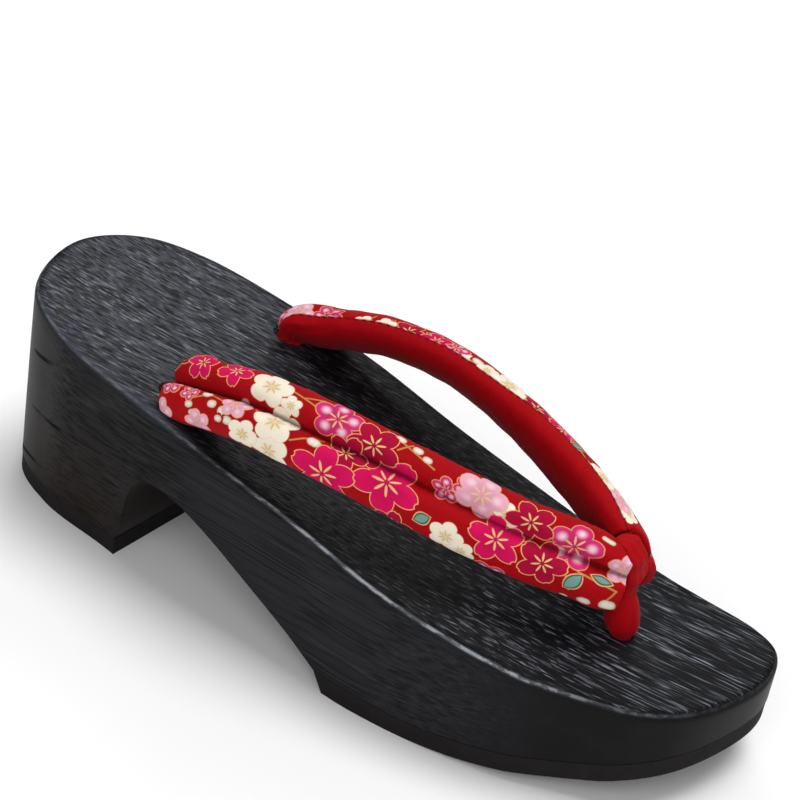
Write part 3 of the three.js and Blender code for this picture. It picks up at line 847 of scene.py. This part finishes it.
# Blossoms of the print: along the band, round it from its middle, radius, turn, kind
near_blossoms = [
    (5.6, 8.4, 4.6, 60, "crimson"), (14.4, 7.4, 5.6, 10, "magenta"),
    (26.5, 8.6, 6, 40, "magenta"), (39.5, 7.6, 6.9, 20, "cream"), (47.6, 4.6, 3.6, 0, "cream"),
    (61, 7.6, 7.6, 15, "pink"), (73, 5.4, 8, 50, "crimson"), (95, 4.6, 4.4, 0, "pink"),
    (99.6, 8.4, 3.8, 40, "pink"), (104, 8.8, 8, 30, "pale"), (112.4, 6.4, 4.6, 10, "cream"),
    (119, 7.6, 7.4, 60, "crimson"), (132, 5, 8, 25, "pink"), (147, 2.5, 5.4, 20, "pale"),
    (9.4, -4.4, 3.6, 0, "pink"), (16.4, -4.6, 3.2, 30, "pink"), (33, -3.8, 4.8, 10, "pale"),
    (46, -3.6, 7, 5, "cream"), (38.5, -11.8, 5.2, 30, "cream"), (47.6, -13, 6.4, 0, "cream"),
    (67, -1.4, 6.6, 35, "crimson"), (64, -11.4, 9.6, 10, "magenta"),
    (80.5, -3.6, 10, 45, "magenta"), (100.4, -8.8, 5.2, 20, "cream"),
    (105.4, -11.2, 4.2, 50, "cream"), (112.4, -2.2, 7.8, 0, "magenta"),
    (125.6, -3.4, 7.2, 30, "crimson"), (22, -14, 5, 0, "pale"), (8, -13.6, 4.6, 30, "pale"),
    (86, -16, 6, 20, "crimson"), (114, -15.5, 5.5, 50, "pink"),
]
far_blossoms = [
    (4.6, 13.4, 3.6, 0, "pink"), (10.6, 13, 4.4, 20, "pale"), (20, 13.2, 5.8, 10, "pink"),
    (32, 15.4, 3.4, 40, "cream"), (38.6, 14.8, 3.6, 0, "cream"), (46, 14.2, 5.8, 30, "crimson"),
    (55, 13.6, 5.2, 10, "magenta"), (61, 12.2, 4.6, 50, "pink"), (73, 13, 3.8, 0, "cream"),
    (81, 12.4, 6.8, 20, "cream"), (92, 13.4, 6.4, 35, "crimson"),
    (102, 12.2, 5.6, 0, "magenta"), (122, 12.6, 6.2, 15, "cream"), (131, 11.8, 5, 45, "pale"),
    (135.6, 11.2, 3.8, 10, "cream"),
]
# Buds and leaves: from along, from round, to along, to round, radius, kind
near_buds = [
    (78, 12, 78.6, 12, 1.17, "bud"), (83.5, 11.4, 84.2, 11.4, 1.17, "bud"),
    (87, 10, 87.6, 10, 1.01, "bud"), (17.6, -8.4, 18.2, -8.4, 1.09, "bud"),
    (19.6, -10.8, 20.2, -10.8, 1.01, "bud"), (22, -3.4, 22.6, -3.4, 1.17, "bud"),
    (25.4, -6.2, 26, -6.2, 1.25, "bud"), (30, -7.4, 30.8, -7.4, 1.48, "bud"),
    (32.6, -9.6, 33.2, -9.6, 1.25, "bud"), (29.4, -10.2, 30, -10.2, 1.01, "bud"),
    (58, -3.6, 58.8, -3.6, 1.48, "bud"), (138.6, 11, 141.2, 10.2, 0.78, "bud"),
    (139, -10.8, 139.8, -10.8, 1.4, "bud"), (145, -9.6, 146.2, -9.6, 1.64, "bud"),
    (134, -13, 134.6, -13, 0.86, "bud"), (90.8, -9.4, 94.8, -5.6, 1.9, "leaf"),
    (133, -8.4, 136.4, -2.8, 2.1, "leaf"), (138.4, -2, 145, -3.2, 1.5, "leaf"),
]
far_buds = [
    (65, 13, 65.8, 13, 1.5, "bud"), (68.4, 12, 69.2, 12, 1.4, "bud"),
    (26.6, 15.6, 27.2, 15.6, 1.1, "bud"), (50.6, 11.6, 53.6, 12.6, 0.9, "leaf"),
    (107, 14.6, 111, 11.4, 1.6, "leaf"), (115, 15, 115.8, 15, 1.09, "bud"),
]
# Twigs: from along, from round, to along, to round
near_twigs = [
    (45, 9.6, 57, 7.4), (50, 9, 55, 11.4), (17, -6.8, 24, -3.4), (24, -3, 30, -4.4),
    (38, -1.6, 46, -7.4), (52.4, -6.6, 60, -1), (56, -4, 60.6, -3), (74, 12.4, 90, 8.4),
    (79, 8, 82, 12.2), (135, -2.4, 146.4, -4.6), (146.4, -4.6, 144.6, -8.4),
    (134.6, -8.4, 131.6, -3),
]
far_twigs = [
    (26, 15, 40, 14.6), (33, 15, 34.6, 11.4), (38, 14.8, 39.4, 11.4), (41.6, 13.6, 40, 11.2),
    (61, 15, 72, 12.6), (105, 12, 116, 14.6),
]
# Petal colour, roundness of the petals, light spot on each (minus for a yellow heart), gold line
blossom_kinds = {
    "cream": ("eee4d0", 1.0, -1.0, 0.3),
    "pale": ("e7a9bd", 0.8, 0.6, 0.7),
    "pink": ("cf2a70", 0.7, 0.9, 0.8),
    "magenta": ("d40a58", 0.15, 0.0, 1.0),
    "crimson": ("aa0436", 0.3, 0.0, 1.0),
}
# Colour, fullness in the middle, gold line
bud_kinds = {"bud": ("e8e0d2", 0.0, 0.25), "leaf": ("6f9a90", 1.0, 1.0)}
bud_kinds["twig"] = ("b98745", 0.0, 0.0)
TWIG_RADIUS = 0.26
BLOSSOM_LAYERS = ("under", "over", "top", "last")  # blossoms that overlap lie on different ones
NOWHERE = -500.0  # a place so far off that a face without a blossom draws none


def chart_print(mesh, at_face, arc_face, blossoms, buds, twigs):
    """Writes on each face which blossom, bud and twig of the chart it shows."""
    count = len(mesh.polygons)
    names = (*BLOSSOM_LAYERS, "bud", "twig", "stem")
    layers = {name: np.tile([NOWHERE, 0.0, 1.0], (count, 1)) for name in names}
    looks = {name: np.tile([NOWHERE, 0.0, 0.0], (count, 1)) for name in names}
    tints = {name: np.ones((count, 4)) for name in names}
    taken = {name: [] for name in BLOSSOM_LAYERS}
    for s, w, radius, turn, kind in blossoms:
        code, roundness, spot, gilt = blossom_kinds[kind]
        for layer in BLOSSOM_LAYERS:
            needed = [(a, b, (r + radius) * 1.05 + 1.4) for a, b, r in taken[layer]]
            if all(math.hypot(a - s, b - w) > reach for a, b, reach in needed):
                break
        taken[layer].append((s, w, radius))
        face = np.hypot(at_face - s, arc_face - w) < radius * 1.05 + 0.7
        layers[layer][face] = (s, w, radius)
        looks[layer][face] = (math.radians(turn), roundness, spot)
        tints[layer][face] = (*colour(code)[:3], gilt)
    rows = [("bud", *row) for row in buds]
    for number, row in enumerate(twigs):
        rows.append((("twig", "stem")[number % 2], *row, TWIG_RADIUS, "twig"))
    for layer, s0, w0, s1, w1, radius, kind in rows:
        code, taper, gilt = bud_kinds[kind]
        run = np.array([s1 - s0, w1 - w0])
        there = np.stack([at_face - s0, arc_face - w0], 1)
        share = np.clip(there @ run / (run @ run), 0, 1)[:, None]
        face = np.linalg.norm(there - share * run, axis=1) < radius + 0.7
        layers[layer][face] = (s0, w0, radius)
        looks[layer][face] = (s1, w1, taper)
        tints[layer][face] = (*colour(code)[:3], gilt)
    for suffix, kind, stored, chart in (
        ("place", "FLOAT_VECTOR", "vector", layers),
        ("look", "FLOAT_VECTOR", "vector", looks),
        ("tint", "FLOAT_COLOR", "color", tints),
    ):
        for layer, values in chart.items():
            field = mesh.attributes.new(f"{layer}_{suffix}", kind, "FACE")
            field.data.foreach_set(stored, values.astype(np.float32).ravel())


# Print finish: the chart's blossoms drawn on red cotton, with gold lines
CLOTH_SURFACE = {"Specular_IOR_Level": 0.1, "Sheen_Weight": 0.03, "Sheen_Roughness": 0.4}
cotton = Finish("flower_print_cotton", **CLOTH_SURFACE)
spread_map = cotton.node("ShaderNodeUVMap", {"uv_map": "band"})
map_s, map_w, _ = cotton.parts(spread_map)
along_mm, round_mm = map_s * 1000.0, map_w * 1000.0
gold = colour("e0a56a")


def charted(layer):
    """What the faces hold for one layer of the chart."""
    place = cotton.parts(cotton.field(f"{layer}_place", "Vector"))
    look = cotton.parts(cotton.field(f"{layer}_look", "Vector"))
    tint, gilt = (cotton.field(f"{layer}_tint", part) for part in ("Color", "Alpha"))
    return *place, *look, tint, gilt


def twig_or_bud(under, layer):
    """A rounded stroke from one end to the other, fuller in the middle for a leaf."""
    s0, w0, radius, s1, w1, taper, tint, gilt = charted(layer)
    run_s, run_w = s1 - s0, w1 - w0
    off_s, off_w = along_mm - s0, round_mm - w0
    share = (off_s * run_s + off_w * run_w) / (run_s * run_s + run_w * run_w + 0.0001)
    share = share.math("MAXIMUM", 0.0).math("MINIMUM", 1.0)
    rest_s, rest_w = off_s - run_s * share, off_w - run_w * share
    away = (rest_s * rest_s + rest_w * rest_w).math("SQRT")
    fuller = 1.0 - taper + taper * share * (1.0 - share) * 4.0
    edge = away - radius * fuller
    inside = cotton.step(edge, 0.08, -0.08)
    body = cotton.mix(gilt * cotton.step(edge, -0.9, -0.3), tint, colour("2e3f3a"))
    painted = cotton.mix(inside, under, body)
    rule = gilt * cotton.step(abs(edge), 0.28, 0.14)
    return cotton.mix(rule, painted, gold)


def blossom(under, layer):
    """Five petals with an outline, a light spot or a yellow heart, and seven stamens."""
    s0, w0, radius, turn, roundness, spot, tint, gilt = charted(layer)
    off_s, off_w = (along_mm - s0) / radius, (round_mm - w0) / radius
    far = (off_s * off_s + off_w * off_w).math("SQRT")
    angle = off_w.math("ARCTAN2", off_s) + turn
    fifth = (angle * (5 / (2 * math.pi))).math("FRACT") - 0.5
    swing = fifth * (2 * math.pi / 5)
    out, beside = far * swing.math("COSINE"), far * swing.math("SINE")
    reach = out - 0.56
    plum = (reach * reach + beside * beside).math("SQRT") - 0.405
    cherry = (reach * reach * 0.86 + beside * beside * 1.5).math("SQRT") - 0.41
    tip = out - 1.03
    notch = 0.1 - (tip * tip + beside * beside).math("SQRT")
    cherry = cherry.math("MAXIMUM", notch)
    edge = (cherry + (plum - cherry) * roundness).math("MINIMUM", far - 0.24)
    inside = cotton.step(edge, 0.012, -0.012)
    darker = cotton.mix(0.5, tint, colour("7a0020"))
    deep = cotton.mix(cotton.step(far, 0.95, 0.1) * 0.55, tint, darker)
    pale_kind = cotton.step(spot, 0.0, -0.5)
    petal = cotton.mix(pale_kind, deep, tint)
    from_spot = (reach * reach + beside * beside).math("SQRT")
    light = cotton.step(from_spot, 0.26, 0.02) * spot.math("MAXIMUM", 0.0)
    petal = cotton.mix(light * 0.85, petal, colour("fbe3ec"))
    petal = cotton.mix(pale_kind * cotton.step(far, 0.5, 0.05) * 0.6, petal, colour("d9b45e"))
    painted = cotton.mix(inside, under, petal)
    rule = cotton.step(abs(edge) * radius, 0.22, 0.09)
    painted = cotton.mix(rule * gilt, painted, gold)
    seventh = ((angle * (7 / (2 * math.pi))).math("FRACT") - 0.5) * (2 * math.pi / 7)
    ray, side_ray = far * seventh.math("COSINE") - 0.25, far * seventh.math("SINE")
    stamen = cotton.step((ray * ray + side_ray * side_ray * 20.0).math("SQRT"), 0.2, 0.14)
    thread = cotton.mix(pale_kind, colour("e8c283"), colour("b08d4f"))
    return cotton.mix(stamen * (0.35 + gilt * 0.55), painted, thread)


cloth_place = cotton.join(along_mm, round_mm)
plain_red = cotton.mix(cotton.noise(cloth_place, 0.35, 2.0), colour("98000a"), colour("ac020d"))
printed = plain_red
for layer in ("twig", "stem", "bud"):
    printed = twig_or_bud(printed, layer)
for layer in BLOSSOM_LAYERS:
    printed = blossom(printed, layer)
near_arm = cotton.step(cotton.parts(cotton.place())[1], 0.003, -0.001)
past_seam = abs(round_mm) - PRINT_REACH - near_arm * NEAR_PRINT_REACH
lining = cotton.step(past_seam, -0.08, 0.08)
seam = cotton.step(abs(past_seam), 0.45, 0.1)
# A dark red line along the stitched channel: painted shadow in the crease between the two rolls.
crease = cotton.step(cotton.field("beside_channel"), 1.1, 0.1)
shaded = cotton.mix(crease * 0.75, cotton.mix(lining, printed, plain_red), colour("2c0004"))
cotton.set("Base Color", cotton.mix(seam * 0.6, shaded, colour("4a0006")))
WEAVE = 0.42  # from one thread to the next
warp, weft = ((way * (2 * math.pi / WEAVE)).math("SINE") for way in (along_mm, round_mm))
slub = cotton.noise(cloth_place, 2.2, 3.0)
cotton.set("Roughness", 0.66 + slub * 0.2)
cotton.bump(warp * weft * 0.35 + slub * 0.8 - seam * 2.0, 0.35, 0.00022)

COARSE_ALONG, COARSE_AROUND, FINER = 112, 44, 3
rests = {}
near_chart = (near_blossoms, near_buds, near_twigs)
# The hidden face of the inner arm repeats the outer arm's flowers
far_chart = (
    far_blossoms + [row for row in near_blossoms if row[1] < 5 and row[0] < 140],
    far_buds + [row for row in near_buds if row[1] < 8],
    far_twigs + [row for row in near_twigs if row[1] < 6],
)
for side, name, chart in ((-1, "thong_outer_arm", near_chart), (1, "thong_inner_arm", far_chart)):
    coarse, at, middle = band_grid(side, COARSE_ALONG, COARSE_AROUND, PAD_SLACK)
    arc = arc_from_middle(coarse)
    pins = np.clip(1.6 - np.abs(arc - middle[:, None]) / 1.1, 0, 1)
    pins[:2] = pins[-3:] = 1
    cap = 0.15 + 1.2 * (1 - np.exp(-(((arc - middle[:, None]) / 3.4) ** 2)))
    full = puffed(coarse[:, :-1], pins[:, :-1], cap[:, :-1, None])
    full = np.concatenate([full, full[:, :1]], axis=1)
    fine = finer(eased(full, 1, 0.25), FINER)
    fine_at = np.linspace(0, at[-1], len(fine))
    unpuffed = band_grid(side, COARSE_ALONG, COARSE_AROUND, 0)[0]
    fine_arc = arc_from_middle(finer(unpuffed, FINER))
    fine = gathers(stitched_channel(fine, fine_at, fine_arc), fine_at, fine_arc, side)
    fine = eased(settled(fine, side), 3, 0.35)
    fine = settled(fine, side)
    along, around = len(fine), fine.shape[1] - 1
    mesh = bpy.data.meshes.new(name)
    points = metres(fine[:, :-1].reshape(-1, 3)).tolist()
    mesh.from_pydata(points, [], capped_faces(along, around))
    uv = mesh.uv_layers.new(name="band")
    corner = np.zeros((len(mesh.loops), 2))
    rows_s, rows_w = (fine_at + TUCK) / 1000, fine_arc / 1000
    quads = (along - 1) * around
    i, k = np.divmod(np.arange(quads), around)
    for number, (di, dk) in enumerate(((0, 0), (0, 1), (1, 1), (1, 0))):
        corner[number : quads * 4 : 4, 0] = rows_s[i + di]
        corner[number : quads * 4 : 4, 1] = rows_w[i + di, k + dk]
    uv.data.foreach_set("uv", corner.astype(np.float32).ravel())
    face_s = np.concatenate([(rows_s[i] + rows_s[i + 1]) * 500, [-400, -400]])
    face_w = np.concatenate([(rows_w[i, k] + rows_w[i + 1, k + 1]) * 500, [0, 0]])
    chart_print(mesh, face_s, face_w, *chart)
    channel = np.interp(fine_at / at[-1], *zip(*channel_rows))[:, None]
    write_field(mesh, "beside_channel", np.abs(fine_arc - channel)[:, :-1])
    face_outwards(mesh)
    mesh.materials.append(cotton.material)
    mesh.shade_smooth()
    arm = placed(name, mesh)
    rests[side] = (fine, fine_arc)
    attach(arm, "root")
    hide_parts("thong_straps")

# Seam stitches: the print is sewn to the lining along the upper edge of each arm with short
# slanted stitches of dark red thread.
SEAM_END = 189.0  # the stitches stop short of the front loop
SEAM_LIFT = 0.03
SEAM_START = 12  # rows of the arm before the first stitch
thread = Finish("seam_thread", Specular_IOR_Level=0.2)
thread_grain = thread.noise(thread.place(), 2600.0, 2.0)
thread.set("Base Color", thread.mix(thread_grain, colour("6a0009"), colour("930410")))
thread.set("Roughness", 0.5 + thread_grain * 0.3)
thread.bump(thread_grain, 0.3, 0.0001)

stitching = bpy.data.node_groups.new("seam_stitches", "GeometryNodeTree")
for label, kind, flow in (
    ("Seam", "NodeSocketGeometry", "INPUT"),
    ("Spacing", "NodeSocketFloat", "INPUT"),
    ("Stitch Length", "NodeSocketFloat", "INPUT"),
    ("Thread Radius", "NodeSocketFloat", "INPUT"),
    ("Thread", "NodeSocketMaterial", "INPUT"),
    ("Stitches", "NodeSocketGeometry", "OUTPUT"),
):
    stitching.interface.new_socket(name=label, in_out=flow, socket_type=kind)


def stitch_node(kind, settings=None, values=None, feeds=None):
    """One node of the stitching tree: its settings, plain values and the sockets that feed it."""
    made = stitching.nodes.new(kind)
    for name, value in (settings or {}).items():
        setattr(made, name, value)
    for key, value in (values or {}).items():
        made.inputs[key].default_value = value
    for key, socket in (feeds or {}).items():
        stitching.links.new(socket, made.inputs[key])
    return made.outputs


given = stitch_node("NodeGroupInput")
seam_run = stitch_node("GeometryNodeMeshToCurve", feeds={"Mesh": given["Seam"]})
feeds = {"Curve": seam_run[0], "Length": given["Spacing"]}
marks = stitch_node("GeometryNodeCurveToPoints", {"mode": "LENGTH"}, feeds=feeds)
slant, feeds = {"Direction": (0.12, 0.0, 1.0)}, {"Length": given["Stitch Length"]}
strand = stitch_node("GeometryNodeCurvePrimitiveLine", {"mode": "DIRECTION"}, slant, feeds)
feeds = {"Curve": strand[0]}
bent = stitch_node("GeometryNodeResampleCurve", {"mode": "COUNT"}, {"Count": 7}, feeds)
# Each stitch is thin at both ends: the share of the way times what is left of it
share = stitch_node("GeometryNodeSplineParameter")["Factor"]
left_over = stitch_node("ShaderNodeMath", {"operation": "SUBTRACT"}, {0: 1.0}, {1: share})
feeds = {0: share, 1: left_over[0]}
hump = stitch_node("ShaderNodeMath", {"operation": "MULTIPLY"}, feeds=feeds)
swell = {1: 3.0, 2: 0.25}
fuller = stitch_node("ShaderNodeMath", {"operation": "MULTIPLY_ADD"}, swell, {0: hump[0]})
feeds = {"Radius": given["Thread Radius"]}
profile = stitch_node("GeometryNodeCurvePrimitiveCircle", None, {"Resolution": 8}, feeds)
feeds = {"Curve": bent[0], "Profile Curve": profile[0], "Scale": fuller[0]}
stitch = stitch_node("GeometryNodeCurveToMesh", None, {"Fill Caps": True}, feeds)
feeds = {"Points": marks["Points"], "Instance": stitch[0], "Rotation": marks["Rotation"]}
sewn = stitch_node("GeometryNodeInstanceOnPoints", feeds=feeds)
real = stitch_node("GeometryNodeRealizeInstances", feeds={0: sewn[0]})
feeds = {"Geometry": real[0], "Material": given["Thread"]}
coloured = stitch_node("GeometryNodeSetMaterial", feeds=feeds)
stitch_node("NodeGroupOutput", feeds={0: coloured[0]})
stitch_sizes = {"Spacing": 0.0026, "Stitch Length": 0.0015, "Thread Radius": 0.00017}
stitch_sizes["Thread"] = thread.material

for side, name in ((-1, "outer_seam_stitches"), (1, "inner_seam_stitches")):
    grid, arc = rests[side]
    reach = PRINT_REACH + (NEAR_PRINT_REACH if side < 0 else 0)
    line = []
    for row, round_row in zip(grid, arc):
        spot = np.array([np.interp(reach, round_row[::-1], row[::-1, k]) for k in range(3)])
        outwards = spot - row.mean(axis=0)
        line.append(spot + outwards / np.linalg.norm(outwards) * SEAM_LIFT)
    line = np.array([spot for spot in line[SEAM_START:] if spot[0] < SEAM_END])
    seam_mesh = bpy.data.meshes.new(name)
    edges = [(i, i + 1) for i in range(len(line) - 1)]
    seam_mesh.from_pydata(metres(line).tolist(), edges, [])
    seam_piece = placed(name, seam_mesh)
    sewing = seam_piece.modifiers.new("sewing", "NODES")
    sewing.node_group = stitching
    for item in stitching.interface.items_tree:
        if item.in_out == "INPUT" and item.name in stitch_sizes:
            sewing[item.identifier] = stitch_sizes[item.name]
    keep_result(seam_piece)
    seam_piece.data.shade_smooth()
    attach(seam_piece, "root")

# Tails of the straps: the ends are gathered, pulled down the rear holes and tied in flat
# knots under the deck. They are plain red cloth like the lining.
crepe = Finish("plain_red_crepe", **CLOTH_SURFACE)
here = crepe.place()
dye = crepe.noise(here, 220.0, 3.0)
ribs = crepe.noise(crepe.stretched(here, 900, 900, 2600), 1.0, 2.0, 0.6)
crepe.set("Base Color", crepe.mix(dye, colour("98000b"), colour("b0020d")))
crepe.set("Roughness", 0.72 + dye * 0.16)
crepe.bump(ribs + dye * 0.6, 0.4, 0.0003)


def pleated_tube(rows, sides, pleats, depth, turn=0.0):
    """A gathered tube: rows of centre, radius and pleat share from one end to the other."""
    points = []
    angle = np.linspace(0, 2 * np.pi, sides, endpoint=False)
    for centre, radius, share, axis in rows:
        axis = Vector(axis).normalized()
        sideways = Vector((0, 1, 0)).cross(axis).normalized()
        other = axis.cross(sideways)
        waves = np.cos(pleats * angle + turn) + 0.4 * np.cos((pleats + 3) * angle + 2.0)
        fold = 1 + depth * share * waves
        for a, f in zip(angle, fold):
            offset = (sideways * math.cos(a) + other * math.sin(a)) * radius * float(f)
            points.append([c + o for c, o in zip(centre, offset)])
    return metres(points).tolist(), capped_faces(len(rows), sides)


ARCH_TOP = 32.7
TAIL_ROWS, TAIL_SIDES = 26, 96
KNOT_ROWS = (0.97, 0.86, 0.66, 0.4, 0.1, -0.2, -0.5, -0.75, -0.92, -1.0)
knot_middle = ARCH_TOP - GAP - KNOT_HALF_HEIGHT
for side, name in ((-1, "outer_tail"), (1, "inner_tail")):
    top, bottom = rear_hole_axis(side, -0.6, 0)
    run = bottom - top
    rows = [
        ((top[0] + 3.0, top[1], top[2] + 2.0), 2.2, 0.0, (-0.9, 0, -0.5)),
        ((top[0] + 2.2, top[1], top[2] + 1.7), 3.3, 0.0, (-0.8, 0, -0.7)),
        ((top[0] + 1.0, top[1], top[2] + 1.0), NECK - 0.2, 0.2, (-0.3, 0, -1)),
    ]
    for share in np.linspace(0, 1, TAIL_ROWS):
        rows.append((top + run * share, NECK, 1.0, run))
    for lift in KNOT_ROWS:
        radius = KNOT * math.sqrt(max(0.02, 1 - lift * lift))
        centre = (bottom[0], bottom[1], knot_middle + lift * KNOT_HALF_HEIGHT)
        rows.append((centre, radius, 0.5, (0, 0, -1)))
    points, faces = pleated_tube(rows, TAIL_SIDES, 9, 0.045)
    tail = mesh_piece(name, points, faces, crepe.material)
    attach(tail, "root")

# Front loop: a stuffed tube of plain red crepe that wraps the joined straps and is gathered
# below them into a stub, pulled down the front hole and knotted in its pocket.
LOOP_VOXEL = 0.00036
LOOP_STEPS, LOOP_SECTION, STUB_SIDES = 120, 40, 96
STUB_LEAN_RUN, STUB_TOP_BACK = 12, 2.4  # above the deck the stub leans back into the loop
SHIFT_START, SHIFT_RUN = 4.4, 3.6  # above its knot it moves over into the narrower hole


def loop_ring():
    """The creased ring round the straps, one section after another."""
    points = []
    long_axis, tall_axis = LOOP_LENGTH - LOOP_WALL / 2, LOOP_HEIGHT - LOOP_WALL / 2
    for i in range(LOOP_STEPS):
        a = 2 * math.pi * i / LOOP_STEPS
        ahead, above = long_axis * math.cos(a), tall_axis * math.sin(a)
        centre = Vector((loop_centre[0] + ahead, front_centre[1], loop_centre[1] + above))
        onwards = Vector((-long_axis * math.sin(a), 0, tall_axis * math.cos(a))).normalized()
        out = Vector((onwards.z, 0, -onwards.x))
        low = max(0.0, -math.sin(a)) ** 3
        half_width = LOOP_WIDTH / 2 * (1 - 0.12 * low)
        for k in range(LOOP_SECTION):
            b = 2 * math.pi * k / LOOP_SECTION
            across = half_width * math.copysign(abs(math.cos(b)) ** 0.7, math.cos(b))
            thick = LOOP_WALL / 2 * math.copysign(abs(math.sin(b)) ** 0.8, math.sin(b))
            if thick > 0:
                thick += 0.24 * math.sin(9 * a + 2.5 * math.sin(b))
                thick += 0.16 * math.sin(across * 2.2 + 3 * a)
            points.append(centre + Vector((0, across, 0)) + out * thick)
    return metres(points).tolist(), ring_faces(LOOP_STEPS, LOOP_SECTION, closed=True)


# The stub from the pocket up: height over the sole and then over the deck, radius, depth of
# its gathers
sole_here = float(sole_rise(front_centre[0] + KNOT)) + TREAD
deck_here = float(deck_height(front_centre[0]))
low_rows = [(1.0, 4.4, 0.6), (1.8, 6.0, 0.6), (3.4, 6.8, 0.5), (5.4, 6.3, 0.7), (6.8, 4.2, 1.0)]
low_rows += [(8.0, 3.3, 1.0)]
high_rows = [(-3.0, 3.3, 1.2), (0.2, 3.4, 1.2), (1.4, 4.2, 1.2), (3.2, 4.8, 1.0), (6.0, 4.9, 0.8)]
high_rows += [(9.0, 4.6, 0.6), (11.4, 4.2, 0.3), (13.4, 3.4, 0.0)]
stub_rows = [(sole_here + height, *rest) for height, *rest in low_rows]
stub_rows += [(deck_here + height, *rest) for height, *rest in high_rows]
tube_rows = []
for z, radius, share in even_spline(stub_rows, 5):
    lean = min(1.0, max(0.0, (z - deck_here) / STUB_LEAN_RUN))
    shift = min(1.0, max(0.0, (z - sole_here - SHIFT_START) / SHIFT_RUN))
    aside = HOLE_ASIDE * shift * (1 - lean)
    back = HOLE_BACK * shift + (STUB_TOP_BACK - HOLE_BACK) * lean**1.5
    centre = (front_centre[0] - back, front_centre[1] + aside, z)
    tube_rows.append((centre, radius, share, (-0.1 * lean, 0, 1)))
stub_points, stub_faces = pleated_tube(tube_rows, STUB_SIDES, 8, 0.035, 0.8)
loop_points, faces = loop_ring()
faces += [tuple(v + len(loop_points) for v in face) for face in stub_faces]
loop_piece = mesh_piece("front_loop_cloth", loop_points + stub_points, faces, crepe.material)
joined = loop_piece.modifiers.new("sewn", "REMESH")
joined.mode, joined.voxel_size = "VOXEL", LOOP_VOXEL
softer = loop_piece.modifiers.new("soft", "SMOOTH")
softer.factor, softer.iterations = 0.5, 14
keep_result(loop_piece)
loop_piece.data.shade_smooth()
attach(loop_piece, "root")
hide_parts("front_loop")
